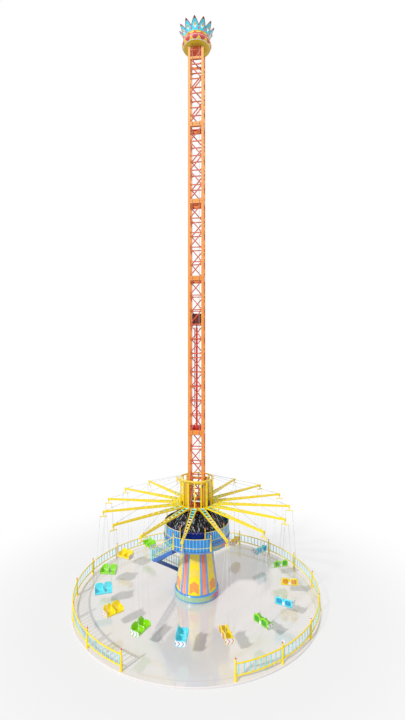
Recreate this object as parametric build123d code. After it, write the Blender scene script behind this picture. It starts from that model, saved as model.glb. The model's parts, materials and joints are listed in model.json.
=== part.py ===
from build123d import *
from math import atan2, cos, degrees, radians, sin, tan
import os

# Tower swing ride, a scale model at 1:2. Millimetres, Z up, the entrance faces -Y.
# The origin is the centre of the deck's underside. Angles turn from -Y towards +X.

# Fits, shared by all pieces
fit_gap = 0.3
running_gap = 5
overrun = 40
ring_piece_count = 8

# Deck and the heights that start from its top
deck_radius = 4490
deck_thickness = 60
deck_edge_bevel = 12
deck_top = deck_thickness

# Lattice tower
tower_width = 580
leg_size = 85
plinth_height = 332
section_height = 2837
section_count = 7
section_bay_count = 5
brace_width = 32
brace_depth = 32
brace_setback = 26.5
flange_height = 160
flange_thickness = 20
top_band_drop = 401
top_band_height = 84
head_beam_height = 80
head_block_width = 350
plain_joint = 3
pedestal_margin = 30
plinth_beam_width = 70

# Crown, from its underside up
soffit_gap_height = 97
soffit_radius = 494
soffit_thickness = 16
red_band_height = 179
red_band_bulge = 553
waist_radius = 507
yellow_band_height = 157
petal_foot_radius = 477
petal_count = 12
petal_height = 400
petal_tip_radius = 668
petal_thickness = 12
petal_valley_height = 165
petal_belly_share = 0.55
petal_hole_foot = 72
petal_hole_width = 118
petal_hole_height = 180

# Hoist: ropes, telescopic ram and the beam that it stands on
rope_size = 14
rope_spacing = 260
rope_standoff = 25
ram_joint = 2
ram_beam_height = 170
ram_beam_width = 120
barrel_diameter = 75
lift_travel = 13200
ram_reduction_count = 4
ram_overlap = 350
barrel_floor = 20
stage_diameter = 60
rod_diameter = 45
ram_neck = 36
head_width = 355
head_height = 405
head_depth = 120
head_plate_thickness = 14
head_yoke_height = 40
sheave_diameter = 300
sheave_width = 34

# Carriage
carriage_bottom = 3150
carriage_height = 1050
carriage_bore = 680
carriage_beam = 60
carriage_beam_depth = 80
roller_diameter = 100
roller_width = 40
roller_axle = 24
roller_sides_count = 12
slewing_ring_radius = 620
slewing_ring_thickness = 20

# Rotor: cage, arms and stays
cage_radius = 625
cage_tube = 41
cage_bottom = 3290.5
cage_height = 1017
arm_count = 16
arm_root_width = 214
arm_chord_width = 28
arm_depth = 60
arm_root_rail = 36
arm_rung_count = 7
arm_rung_width = 26
arm_least_opening = 5
arm_drop = 19.5
end_block_width = 70
end_block_length = 260
arm_overhang = 20
pivot_radius = 3400
pivot_drop = 25
cheek_thickness = 10
cheek_length = 40
lug_setback = 130
lug_length = 30
lug_height = 40
stay_width = 14

# Swing seats
link_size = 24
crossbar_drop = 105
crossbar_length = 247
crossbar_size = 24
chain_size = 10
chain_pitch = 14
seat_clearance = 488
seat_width = 586
seat_depth = 330
seat_height = 315
seat_pan_height = 95
seat_wall = 20
seat_divider = 30
seat_arm_height = 172
seat_rail_width = 12
seat_rail_height = 24
seat_rail_level = 150
seat_back_thickness = 40
seat_lobe_radius = 90

# Fence
fence_inset = 70
fence_gap_angle = 42.2
fence_bay_count = 16
fence_post_size = 36
fence_post_height = 632
knob_size = 50
knob_side_count = 6
fence_top_rail = 465
fence_low_rail = 143
rail_size = 40
baluster_count = 6
baluster_width = 34
baluster_depth = 12

# Skirt round the tower's foot
skirt_band_radius = 817
skirt_band_height = 276
skirt_foot_radius = 762
skirt_top_radius = 518
skirt_skin = 12
skirt_side_count = 6
skirt_yellow_angle = 34
skirt_rib_angle = 6.2
skirt_rib_proud = 10

# Gallery and front balcony
gallery_radius = 1228
gallery_floor_level = 2261
gallery_floor_thickness = 40
fascia_height = 201
fascia_thickness = 14
gallery_gap_angle = 42.8
railing_height = 600
railing_post_size = 30
railing_top_rail = 430
railing_low_rail = 126
railing_tube = 24
slat_thickness = 8
gallery_bay_count = 8
balcony_depth = 230
balcony_angle = 56.4
balcony_floor_level = 2130
balcony_floor_thickness = 34

# Machine drum and its pleated dome
drum_radius = 1020
drum_height = 370
drum_skin = 16
dome_foot_radius = 1010
dome_top_radius = 592
dome_top_level = 3125
dome_skin = 14
dome_pleat_depth = 26
dome_out_shares = (1, 0.72, 0)
dome_rise_shares = (0, 0.55, 1)
dome_gore_count = 24

# Stairs
stair_width = 205
stair_start_x = -690
stair_start_y = -1312
landing_corner_x = -1600
landing_corner_y = -510
stair_end_x = -490
stair_end_y = 1210
landing_level = 1360
landing_thickness = 34
tread_thickness = 18
stringer_thickness = 16
stringer_height = 150
upper_risers = 8
lower_risers = 14
guard_thickness = 16
guard_height = 430
guard_low_rail = 126
guard_rail = 24
guard_bar = 20
guard_bar_pitch = 190

# Worked out from the sizes above
full_turn = 360
quarter_turn = full_turn / 4
tower_half = tower_width / 2
leg_centre = tower_half - leg_size / 2
leg_span = tower_width - 2 * leg_size
plinth_top = deck_top + plinth_height
tower_top = plinth_top + section_count * section_height
soffit_level = tower_top + soffit_gap_height
arm_pitch = full_turn / arm_count
fence_radius = deck_radius - fence_inset
fence_pitch = (full_turn - fence_gap_angle) / fence_bay_count
arm_bottom = deck_top + cage_bottom + arm_drop
arm_top = arm_bottom + arm_depth
pivot_level = arm_bottom - pivot_drop
arm_reach = pivot_radius + arm_overhang
end_block_start = arm_reach - end_block_length
lug_radius = pivot_radius - lug_setback
lattice_inner_half = tower_half - brace_setback - brace_depth
ram_beam_low = plinth_top + ram_joint * section_height + (flange_height - brace_width) / 2
ram_foot = ram_beam_low + ram_beam_height
balcony_radius = gallery_radius + balcony_depth
barrel_length = lift_travel / ram_reduction_count + ram_overlap
corners = ((1, 1), (-1, 1), (-1, -1), (1, -1))
sides = (-1, 1)


# Solid between two opposite corners
def block(low, high):
    size = [top - bottom for bottom, top in zip(low, high)]
    middle = [(top + bottom) / 2 for bottom, top in zip(low, high)]
    return Pos(*middle) * Box(*size)


# Piece of a ring whose section is an outline of (radius, height) points
def ring_piece(outline, middle, sweep):
    section = make_face(Plane.XZ * Polyline(*outline, close=True))
    start = middle - quarter_turn - sweep / 2
    return Rot(0, 0, start) * revolve(section, Axis.Z, sweep)


# Outline of a rectangle between two radii and two heights
def ring_section(inner, outer, bottom, top):
    return [(inner, bottom), (outer, bottom), (outer, top), (inner, top)]


# Ring made of like pieces that stand a fit apart
def ring_of_pieces(outline, count, first=0, sweep_total=full_turn):
    pitch = sweep_total / count
    outer = max(radius for radius, height in outline)
    sweep = pitch - degrees(fit_gap / outer)
    return [ring_piece(outline, first + pitch * (index + 1 / 2), sweep) for index in range(count)]


# Solid between two level squares, as a slanting bar with level ends
def slanting_bar(low, high, size):
    ends = [Pos(*point) * Rectangle(size, size) for point in (low, high)]
    return loft(ends)


def turned(shape, angle):
    return Rot(0, 0, angle) * shape


def around(radius, angle):
    return (radius * sin(radians(angle)), -radius * cos(radians(angle)))


def write(name, pieces):
    pieces = pieces if isinstance(pieces, list) else [pieces]
    solids = [solid for piece in pieces for solid in piece.solids()]
    export_step(Compound(solids), f"parts/{name}.step")


def deck():
    plate = Pos(0, 0, deck_thickness / 2) * Cylinder(deck_radius, deck_thickness)
    rim = plate.edges().group_by(Axis.Z)[-1]
    return chamfer(rim, deck_edge_bevel)


def tower_base():
    half = leg_size / 2 + pedestal_margin
    pieces = []
    for x, y in corners:
        low = (x * leg_centre - half, y * leg_centre - half, deck_top)
        high = (x * leg_centre + half, y * leg_centre + half, plinth_top)
        pieces.append(block(low, high))
    reach = leg_centre - half - fit_gap
    beam_half = plinth_beam_width / 2
    beam = block((-reach, -leg_centre - beam_half, deck_top), (reach, -leg_centre + beam_half, plinth_top))
    return pieces + [turned(beam, quarter_turn * side) for side in range(4)]


def tower_legs():
    half = leg_size / 2
    leg = block((-half, -half, plinth_top), (half, half, tower_top))
    return [Pos(x * leg_centre, y * leg_centre, 0) * leg for x, y in corners]


# One section of a lattice side: level bars and one slanting bar a bay
def lattice_panel(section):
    bay = (section_height - flange_height) / section_bay_count
    start = plinth_top + section * section_height + flange_height / 2
    edge = leg_span / 2
    outline = Sketch()
    for index in range(section_bay_count + 1):
        outline += Pos(0, start + bay * index) * Rectangle(leg_span, brace_width)
    slope = atan2(bay, leg_span)
    rise = brace_width / cos(slope)
    for index in range(section_bay_count):
        side = -1 if index % 2 else 1
        low = start + bay * index
        high = low + bay
        points = [(-side * edge, low), (side * edge, high - rise)]
        points += [(side * edge, high), (-side * edge, low + rise)]
        outline += make_face(Polyline(*points, close=True))
    plane = Plane(origin=(0, -tower_half + brace_setback, 0), x_dir=(1, 0, 0), z_dir=(0, -1, 0))
    return extrude(plane * outline, -brace_depth)


def lattice_side(quarter):
    return [turned(lattice_panel(section), quarter * quarter_turn) for section in range(section_count)]


# Plate on the front face between the legs
def face_plate(middle, height):
    low = (-leg_span / 2, -tower_half, middle - height / 2)
    return block(low, (leg_span / 2, -tower_half + flange_thickness, middle + height / 2))


def flange_bands():
    plates = [face_plate(tower_top - top_band_drop, top_band_height)]
    for joint in range(1, section_count):
        if joint != plain_joint:
            plates.append(face_plate(plinth_top + joint * section_height, flange_height))
    return [turned(plate, quarter_turn * side) for plate in plates for side in range(4)]


def hoist_ropes():
    depth = -tower_half - rope_standoff
    low = deck_top + gallery_floor_level + fit_gap
    high = soffit_level - fit_gap
    rope = Pos(0, depth, (low + high) / 2) * Cylinder(rope_size / 2, high - low)
    return [Pos(side * rope_spacing / 2, 0, 0) * rope for side in sides]


def ram_barrel():
    reach = lattice_inner_half - fit_gap
    beam = block((-reach, -ram_beam_width / 2, ram_beam_low), (reach, ram_beam_width / 2, ram_foot))
    tube = Pos(0, 0, ram_foot + barrel_length / 2) * Cylinder(barrel_diameter / 2, barrel_length)
    bore_radius = stage_diameter / 2 + fit_gap
    bore_depth = barrel_length - barrel_floor
    bore = Pos(0, 0, ram_foot + barrel_length - bore_depth / 2) * Cylinder(bore_radius, bore_depth)
    return beam + tube - bore


def ram_stage():
    foot = ram_foot + barrel_floor + fit_gap
    length = barrel_length - barrel_floor + ram_neck
    tube = Pos(0, 0, foot + length / 2) * Cylinder(stage_diameter / 2, length)
    bore_radius = rod_diameter / 2 + fit_gap
    bore_depth = length - barrel_floor
    bore = Pos(0, 0, foot + length - bore_depth / 2) * Cylinder(bore_radius, bore_depth)
    return tube - bore


def ram_head():
    foot = ram_foot + 2 * (barrel_floor + fit_gap)
    top = ram_foot + barrel_length + 3 * ram_neck
    rod = Pos(0, 0, (foot + top) / 2) * Cylinder(rod_diameter / 2, top - foot)
    half = head_width / 2
    yoke = block((-half, -head_depth / 2, top), (half, head_depth / 2, top + head_yoke_height))
    head = rod + yoke
    for side in sides:
        outer = side * head_depth / 2
        inner = outer - side * head_plate_thickness
        low = (-half, min(inner, outer), top)
        head += block(low, (half, max(inner, outer), top + head_height))
    return head


def ram_sheave():
    top = ram_foot + barrel_length + 3 * ram_neck
    centre = top + head_height - sheave_diameter / 2
    wheel = Pos(0, 0, centre) * Rot(90, 0, 0) * Cylinder(sheave_diameter / 2, sheave_width)
    axle_length = head_depth - 2 * head_plate_thickness - 2 * fit_gap
    axle = Pos(0, 0, centre) * Rot(90, 0, 0) * Cylinder(rod_diameter / 2, axle_length)
    return wheel + axle


def carriage_frame():
    bottom = deck_top + carriage_bottom
    inner = carriage_bore / 2
    outer = inner + carriage_beam
    pieces = []
    for quarter in range(4):
        half = outer if quarter % 2 == 0 else inner - fit_gap
        panel = block((-half, -outer, bottom), (half, -inner, bottom + carriage_height))
        window_half = inner - carriage_beam
        low = (-window_half, -outer - overrun, bottom + carriage_beam_depth)
        high = (window_half, -inner + overrun, bottom + carriage_height - carriage_beam_depth)
        pieces.append(turned(panel - block(low, high), quarter * quarter_turn))
    return pieces


def guide_rollers():
    bottom = deck_top + carriage_bottom
    lower = bottom + carriage_beam_depth + roller_diameter / 2 + running_gap
    upper = bottom + carriage_height - carriage_beam_depth - roller_diameter / 2 - running_gap
    post = carriage_bore / 2 - carriage_beam - fit_gap
    depth = -tower_half - fit_gap - roller_diameter / 2
    tread = extrude(RegularPolygon(roller_diameter / 2, roller_sides_count), roller_width / 2, both=True)
    wheel = Pos(leg_centre, depth, 0) * Rot(quarter_turn / roller_sides_count, 90, 0) * tread
    axle_half = roller_axle / 2
    axle = block((leg_centre, depth - axle_half, -axle_half), (post, depth + axle_half, axle_half))
    roller = wheel + axle
    pair = [roller, mirror(roller, Plane.YZ)]
    pieces = []
    for level in (lower, upper):
        for quarter in (0, 2):
            pieces += [turned(Pos(0, 0, level) * wheel_set, quarter * quarter_turn) for wheel_set in pair]
    return pieces


# Plates that fill the circle round the square carriage, under the cage
def slewing_ring():
    top = deck_top + cage_bottom - fit_gap
    chord = carriage_bore / 2 + carriage_beam + fit_gap
    disc = Pos(0, 0, top - slewing_ring_thickness / 2) * Cylinder(slewing_ring_radius, slewing_ring_thickness)
    pieces = []
    for quarter in range(4):
        half = slewing_ring_radius if quarter % 2 == 0 else chord - fit_gap
        low = (-half, -slewing_ring_radius - overrun, top - slewing_ring_thickness - overrun)
        high = (half, -chord, top + overrun)
        pieces.append(turned(disc & block(low, high), quarter * quarter_turn))
    return pieces


def cage_rings():
    bottom = deck_top + cage_bottom
    inner = cage_radius - cage_tube
    pieces = []
    for level in (bottom, bottom + cage_height - cage_tube):
        outline = ring_section(inner, cage_radius, level, level + cage_tube)
        pieces.append(revolve(make_face(Plane.XZ * Polyline(*outline, close=True)), Axis.Z, full_turn))
    return pieces


def cage_posts():
    low = deck_top + cage_bottom + cage_tube
    high = deck_top + cage_bottom + cage_height - cage_tube
    half = cage_tube / 2
    facing = cage_radius * cos(half / cage_radius)
    post = block((-half, -facing, low), (half, -facing + cage_tube, high))
    return [turned(post, arm_pitch * index) for index in range(arm_count)]


# Ladder arm that narrows to its end block, seen from above
def arm():
    root = cage_radius + fit_gap
    block_half = end_block_width / 2
    root_half = arm_root_width / 2
    length = end_block_start - root

    def outer_half(radius):
        return root_half + (block_half - root_half) * (radius - root) / length

    outline = make_face(Polyline((root_half, -root), (block_half, -end_block_start), (block_half, -arm_reach),
                                 (-block_half, -arm_reach), (-block_half, -end_block_start), (-root_half, -root),
                                 close=True))
    first = root + arm_root_rail
    pitch = (end_block_start - first) / (arm_rung_count + 1)
    for index in range(arm_rung_count):
        near = first + pitch * index
        far = near + pitch - arm_rung_width
        near_half = outer_half(near) - arm_chord_width
        far_half = outer_half(far) - arm_chord_width
        if far_half > arm_least_opening:
            hole = [(near_half, -near), (far_half, -far), (-far_half, -far), (-near_half, -near)]
            outline -= make_face(Polyline(*hole, close=True))
    frame = extrude(Pos(0, 0, arm_bottom) * outline, arm_depth)
    lug = block((-link_size / 2, -lug_radius - lug_length, arm_top),
                (link_size / 2, -lug_radius, arm_top + lug_height))
    cheek_start = link_size / 2 + fit_gap
    cheek_bottom = pivot_level - cheek_length / 2
    cheek = block((cheek_start, -pivot_radius - cheek_length / 2, cheek_bottom),
                  (cheek_start + cheek_thickness, -pivot_radius + cheek_length / 2, arm_bottom))
    return frame + lug + cheek + mirror(cheek, Plane.YZ)


def arms():
    one = arm()
    return [turned(one, arm_pitch * index) for index in range(arm_count)]


# Stays from the cage's upper ring down to the lugs
def stays():
    start = cage_radius + fit_gap
    start_level = deck_top + cage_bottom + cage_height - cage_tube
    end = lug_radius - fit_gap
    end_level = arm_top + lug_height
    rise = stay_width
    outline = [(-start, start_level), (-start, start_level + rise), (-end, end_level), (-end, end_level - rise)]
    side = make_face(Plane.YZ * Polyline(*outline, close=True))
    stay = extrude(side, stay_width / 2, both=True)
    return [turned(stay, arm_pitch * index) for index in range(arm_count)]


# Moulded double seat that faces +X, with its middle at x = 0, y = 0 and its underside at z = 0
def seat_shell():
    half_depth = seat_depth / 2
    toe_share = 0.35
    heel_share = 0.72
    rear_low_share = 0.4
    lip_share = 0.2
    top_front = -half_depth + seat_back_thickness
    outline = [
        (-half_depth * heel_share, 0),
        (half_depth * (1 - toe_share), 0),
        (half_depth, seat_height * lip_share),
        (half_depth * (1 - toe_share), seat_arm_height),
        (-half_depth * toe_share, seat_arm_height),
        (top_front, seat_height),
        (-half_depth, seat_height),
        (-half_depth, seat_height * rear_low_share),
    ]
    body = extrude(Plane.XZ * make_face(Polyline(*outline, close=True)), seat_width / 2, both=True)
    pan_rear = -half_depth * (1 - toe_share)
    hollow_width = (seat_width - seat_divider) / 2 - seat_wall
    cavity = [
        (pan_rear, seat_pan_height),
        (half_depth + overrun, seat_pan_height),
        (half_depth + overrun, seat_height + overrun),
        (top_front, seat_height + overrun),
        (top_front, seat_height),
    ]
    hollow = extrude(Plane.XZ * make_face(Polyline(*cavity, close=True)), hollow_width / 2, both=True)
    shift = (seat_divider + hollow_width) / 2
    for side in sides:
        body -= Pos(0, side * shift, 0) * hollow
    lobe_width = seat_width / 2
    lobe_length = seat_height + 2 * seat_lobe_radius
    lobes = Sketch()
    for side in sides:
        place = Pos(side * lobe_width / 2, seat_height - lobe_length / 2)
        lobes += place * RectangleRounded(lobe_width, lobe_length, seat_lobe_radius)
    back_view = extrude(Plane.YZ * lobes, seat_depth, both=True)
    body = body & back_view
    for side in sides:
        face = side * seat_width / 2
        rail = block((-half_depth, min(face, face + side * seat_rail_width), seat_rail_level),
                     (half_depth, max(face, face + side * seat_rail_width), seat_rail_level + seat_rail_height))
        body += rail
    return body


# Hanger that swings in the arm's end: an upright link and a radial crossbar
def hanger():
    half = link_size / 2
    low = pivot_level - crossbar_drop
    link = block((-half, -pivot_radius - half, low), (half, -pivot_radius + half, pivot_level + half))
    bar_half = crossbar_length / 2
    size = crossbar_size / 2
    bar = block((-size, -pivot_radius - bar_half, low - size), (size, -pivot_radius + bar_half, low + size))
    return link + bar


def seat_chains():
    top_level = pivot_level - crossbar_drop - crossbar_size / 2 - fit_gap
    low_level = deck_top + seat_clearance + seat_rail_level + seat_rail_height + fit_gap
    top_out = crossbar_length / 2 - chain_size
    low_out = seat_width / 2 + seat_rail_width / 2
    low_fore = seat_depth / 2 - chain_size
    pieces = []
    for x, y in corners:
        low = (x * low_fore, -pivot_radius + y * low_out, low_level)
        high = (x * chain_pitch / 2, -pivot_radius + y * top_out, top_level)
        pieces.append(slanting_bar(low, high, chain_size))
    return pieces


def swing_seat():
    shell = Pos(0, -pivot_radius, deck_top + seat_clearance) * seat_shell()
    return [hanger(), shell] + seat_chains()


# Six-sided post with a knob, standing on z = 0
def knob_post(size, height):
    knob = knob_size / 2
    shaft = extrude(RegularPolygon(size / 2, knob_side_count), height - knob)
    middle = Pos(0, 0, height - knob) * RegularPolygon(knob, knob_side_count)
    narrow = size / 2
    under = Pos(0, 0, height - 2 * knob) * RegularPolygon(narrow, knob_side_count)
    over = Pos(0, 0, height) * RegularPolygon(narrow, knob_side_count)
    return shaft + loft([under, middle]) + loft([middle, over])


def fence_posts():
    post = Pos(0, -fence_radius, deck_top) * knob_post(fence_post_size, fence_post_height)
    first = fence_gap_angle / 2
    return [turned(post, first + fence_pitch * index) for index in range(fence_bay_count + 1)]


# One bay: two curved rails joined by flat balusters
def fence_bay():
    clear = degrees((fence_post_size / 2 + fit_gap) / fence_radius)
    sweep = fence_pitch - 2 * clear
    inner = fence_radius - rail_size / 2
    outer = fence_radius + rail_size / 2
    bay = None
    for level in (fence_low_rail, fence_top_rail):
        low = deck_top + level - rail_size / 2
        rail = ring_piece(ring_section(inner, outer, low, low + rail_size), 0, sweep)
        bay = rail if bay is None else bay + rail
    half = baluster_width / 2
    depth = baluster_depth / 2
    baluster = block((-half, -fence_radius - depth, deck_top + fence_low_rail),
                     (half, -fence_radius + depth, deck_top + fence_top_rail))
    step = sweep / baluster_count
    for index in range(baluster_count):
        bay += turned(baluster, step * (index - (baluster_count - 1) / 2))
    return bay


# Bays of one half of the fence, counted from the entrance round to the rear
def fence_half(first):
    bay = fence_bay()
    bays = fence_bay_count // 2
    return [turned(bay, fence_gap_angle / 2 + fence_pitch * (first + index + 1 / 2)) for index in range(bays)]


def skirt_slope(proud=0):
    foot = deck_top + skirt_band_height
    top = deck_top + gallery_floor_level - gallery_floor_thickness
    return [
        (skirt_foot_radius - skirt_skin, foot),
        (skirt_foot_radius + proud, foot),
        (skirt_top_radius + proud, top),
        (skirt_top_radius - skirt_skin, top),
    ]


def skirt_yellow_panels():
    pitch = full_turn / skirt_side_count
    return [ring_piece(skirt_slope(), pitch * index, skirt_yellow_angle) for index in range(skirt_side_count)]


def skirt_orange_panels():
    pitch = full_turn / skirt_side_count
    sweep = pitch - skirt_yellow_angle - 2 * skirt_rib_angle
    return [ring_piece(skirt_slope(), pitch * (index + 1 / 2), sweep) for index in range(skirt_side_count)]


def skirt_ribs():
    pitch = full_turn / skirt_side_count
    offset = (skirt_yellow_angle + skirt_rib_angle) / 2
    middles = [pitch * index + side * offset for index in range(skirt_side_count) for side in sides]
    return [ring_piece(skirt_slope(skirt_rib_proud), middle, skirt_rib_angle) for middle in middles]


def skirt_base_band():
    foot = deck_top
    top = deck_top + skirt_band_height
    outline = [
        (skirt_band_radius - skirt_skin, foot),
        (skirt_band_radius, foot),
        (skirt_band_radius, top),
        (skirt_foot_radius - skirt_skin, top),
        (skirt_foot_radius - skirt_skin, top - skirt_skin),
        (skirt_band_radius - skirt_skin, top - skirt_skin),
    ]
    return ring_of_pieces(outline, ring_piece_count)


# Four sectors with a straight inner edge round the square tower
def gallery_floor():
    bottom = deck_top + gallery_floor_level - gallery_floor_thickness
    disc = Pos(0, 0, bottom + gallery_floor_thickness / 2) * Cylinder(gallery_radius, gallery_floor_thickness)
    inner = tower_half + fit_gap
    far = gallery_radius + overrun
    gap = fit_gap / 2
    corner_points = [(-inner + gap, -inner), (inner - gap, -inner), (far - gap, -far), (-far + gap, -far)]
    wedge = make_face(Polyline(*corner_points, close=True))
    sector = disc & extrude(Pos(0, 0, bottom - overrun) * wedge, gallery_floor_thickness + 2 * overrun)
    return [turned(sector, quarter_turn * index) for index in range(4)]


def gallery_fascia():
    top = deck_top + gallery_floor_level - gallery_floor_thickness
    outline = ring_section(gallery_radius - fascia_thickness, gallery_radius, top - fascia_height, top)
    return ring_of_pieces(outline, ring_piece_count)


def gallery_angles():
    first = gallery_gap_angle / 2
    pitch = (full_turn - gallery_gap_angle) / gallery_bay_count
    return [first + pitch * index for index in range(gallery_bay_count + 1)]


def railing_rail(radius, level, middle, sweep):
    inner = radius - railing_tube / 2
    section = ring_section(inner, inner + railing_tube, level - railing_tube / 2, level + railing_tube / 2)
    return ring_piece(section, middle, sweep)


def gallery_railing():
    floor = deck_top + gallery_floor_level
    radius = gallery_radius - railing_post_size
    post = Pos(0, -radius, floor) * knob_post(railing_post_size, railing_height)
    angles = gallery_angles()
    pieces = [turned(post, angle) for angle in angles]
    clear = degrees((railing_post_size / 2 + fit_gap) / radius)
    for start, end in zip(angles, angles[1:]):
        for level in (railing_low_rail, railing_top_rail):
            pieces.append(railing_rail(radius, floor + level, (start + end) / 2, end - start - 2 * clear))
    return pieces


# Curved sheets below the low rail and between the rails
def infill_sheets(radius, floor, middle, sweep):
    clear = railing_tube / 2 + fit_gap
    low_rail = floor + railing_low_rail
    top_rail = floor + railing_top_rail
    inner = radius - slat_thickness / 2
    spans = ((floor + fit_gap, low_rail - clear), (low_rail + clear, top_rail - clear))
    outlines = [ring_section(inner, inner + slat_thickness, low, high) for low, high in spans]
    return [ring_piece(outline, middle, sweep) for outline in outlines]


def gallery_infill():
    floor = deck_top + gallery_floor_level
    radius = gallery_radius - railing_post_size
    clear = degrees((railing_post_size / 2 + fit_gap) / radius)
    angles = gallery_angles()
    pieces = []
    for start, end in zip(angles, angles[1:]):
        pieces += infill_sheets(radius, floor, (start + end) / 2, end - start - 2 * clear)
    return pieces


# Floor that ends on its left side along the first riser of the stair
def balcony_floor():
    top = deck_top + balcony_floor_level
    section = ring_section(gallery_radius + fit_gap, balcony_radius, top - balcony_floor_thickness, top)
    right_end = around(balcony_radius, balcony_angle / 2)[0]
    within = block((-balcony_radius, -balcony_radius, 0), (right_end, 0, top))
    plate = ring_piece(section, 0, 2 * balcony_angle) & within
    start, corner, end = stair_points()
    beyond = block((-fit_gap, -balcony_radius, 0), (balcony_radius, balcony_radius, top + overrun))
    return plate - flight_frame(start, corner).location * beyond


def balcony_railing():
    floor = deck_top + balcony_floor_level
    radius = balcony_radius - railing_post_size
    post = Pos(0, -radius, floor) * knob_post(railing_post_size, railing_height)
    edge = balcony_angle / 2 - degrees(railing_post_size / radius)
    pieces = [turned(post, side * edge) for side in sides]
    clear = degrees((railing_post_size / 2 + fit_gap) / radius)
    for level in (railing_low_rail, railing_top_rail):
        pieces.append(railing_rail(radius, floor + level, 0, 2 * edge - 2 * clear))
    return pieces + infill_sheets(radius, floor, 0, 2 * edge - 2 * clear)


def machine_drum():
    bottom = deck_top + gallery_floor_level
    section = ring_section(drum_radius - drum_skin, drum_radius, bottom, bottom + drum_height)
    return ring_of_pieces(section, ring_piece_count)


# One level of a pleat: its ridge stands proud of the two valleys beside it
def pleat_section(radius, level, half_angle):
    ridge = radius + dome_pleat_depth
    points = [around(radius, -half_angle), around(ridge, 0), around(radius, half_angle)]
    inner = radius - dome_skin
    points += [around(inner, half_angle), around(ridge - dome_skin, 0), around(inner, -half_angle)]
    return Pos(0, 0, level) * make_face(Polyline(*points, close=True))


# Pleated gores between the drum's top and the opening under the carriage
def dome_gores():
    foot = deck_top + gallery_floor_level + drum_height
    top = deck_top + dome_top_level
    span = dome_foot_radius - dome_top_radius
    half_angle = (full_turn / dome_gore_count - degrees(fit_gap / dome_top_radius)) / 2
    sections = []
    for out_share, rise_share in zip(dome_out_shares, dome_rise_shares):
        radius = dome_top_radius + span * out_share
        sections.append(pleat_section(radius, foot + (top - foot) * rise_share, half_angle))
    pieces = [loft([low, high], ruled=True) for low, high in zip(sections, sections[1:])]
    gore = pieces[0]
    for piece in pieces[1:]:
        gore += piece
    return [turned(gore, full_turn / dome_gore_count * index) for index in range(dome_gore_count)]


def crown_soffit():
    return Pos(0, 0, soffit_level + soffit_thickness / 2) * Cylinder(soffit_radius, soffit_thickness)


def crown_red_band():
    bottom = soffit_level + soffit_thickness
    top = bottom + red_band_height
    middle = (bottom + top) / 2
    points = [(0, bottom), (soffit_radius, bottom), (red_band_bulge, middle), (waist_radius, top), (0, top)]
    return revolve(make_face(Plane.XZ * Polyline(*points, close=True)), Axis.Z, full_turn)


def crown_yellow_band():
    bottom = soffit_level + soffit_thickness + red_band_height
    top = bottom + yellow_band_height
    points = [(0, bottom), (waist_radius, bottom), (petal_foot_radius, top), (0, top)]
    return revolve(make_face(Plane.XZ * Polyline(*points, close=True)), Axis.Z, full_turn)


# Flared petals with a pointed outline and a rhombus hole
def crown_petals():
    foot = soffit_level + soffit_thickness + red_band_height + yellow_band_height
    pitch = full_turn / petal_count
    flare = petal_tip_radius - petal_foot_radius
    belly = petal_foot_radius + flare * (1 - petal_belly_share)
    belly_level = foot + petal_height * petal_belly_share
    outline = [
        (-petal_foot_radius + petal_thickness, foot),
        (-petal_foot_radius, foot),
        (-belly, belly_level),
        (-petal_tip_radius, foot + petal_height),
        (-petal_tip_radius + petal_thickness, foot + petal_height),
        (-belly + petal_thickness, belly_level),
    ]
    half = (petal_foot_radius - petal_thickness) * tan(radians(pitch / 2)) - fit_gap
    plate = extrude(Plane.YZ * make_face(Polyline(*outline, close=True)), half, both=True)
    valley = foot + petal_valley_height
    leaf = make_face(Polyline((-half, foot), (half, foot), (half, valley), (0, foot + petal_height),
                              (-half, valley), close=True))
    centre = foot + petal_hole_foot + petal_hole_height / 2
    hole = make_face(Polyline((0, centre - petal_hole_height / 2), (petal_hole_width / 2, centre),
                              (0, centre + petal_hole_height / 2), (-petal_hole_width / 2, centre), close=True))
    plane = Plane(origin=(0, 0, 0), x_dir=(1, 0, 0), z_dir=(0, -1, 0))
    petal = plate & extrude(plane * (leaf - hole), petal_tip_radius + overrun)
    return [turned(petal, pitch * index) for index in range(petal_count)]


# Cross beams between the tops of the legs, and the narrower block that carries the crown
def head_frame():
    inner = leg_span / 2 - fit_gap
    reach = lattice_inner_half - fit_gap
    half = head_block_width / 2
    low = tower_top - head_beam_height
    frame = block((-reach, -inner, low), (reach, inner, tower_top))
    frame += block((-inner, -reach, low), (inner, reach, tower_top))
    return frame + block((-half, -half, low), (half, half, soffit_level))


# Places on the ground where the stair starts, turns and ends, at its outer edge
def stair_points():
    start = Vector(stair_start_x, stair_start_y)
    corner = Vector(landing_corner_x, landing_corner_y)
    end = Vector(stair_end_x, stair_end_y)
    return start, corner, end


# Frame of a flight: X along it on the ground, Y outwards, Z up
def flight_frame(start, end):
    along = (end - start).normalized()
    return Plane(origin=(start.X, start.Y, 0), x_dir=(along.X, along.Y, 0), z_dir=(0, 0, 1))


# Where the inner edges of both flights meet
def landing_inner():
    start, corner, end = stair_points()
    upper = flight_frame(start, corner).y_dir
    lower = flight_frame(corner, end).y_dir
    turn = upper.X * lower.Y - upper.Y * lower.X
    shift = Vector(lower.Y - upper.Y, upper.X - lower.X) * (-stair_width / turn)
    return corner + shift


def flight(frame, first, run, top_level, drop, risers):
    going = run / risers
    rise = drop / risers
    near = stringer_thickness + fit_gap
    pieces = []
    for index in range(1, risers):
        level = top_level - rise * index
        low = (first + going * (index - 1), near - stair_width, level - tread_thickness)
        pieces.append(block(low, (first + going * index, -near, level)))
    bottom = top_level - drop
    last = first + run
    flat = last - going * (stringer_height - rise) / rise
    outline = [(first, top_level), (last, bottom + rise), (last, bottom), (flat, bottom),
               (first, top_level - stringer_height)]
    cheek = extrude(Plane.XZ * make_face(Polyline(*outline, close=True)), stringer_thickness)
    pieces += [cheek, Pos(0, stringer_thickness - stair_width, 0) * cheek]
    return [frame.location * piece for piece in pieces]


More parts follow.
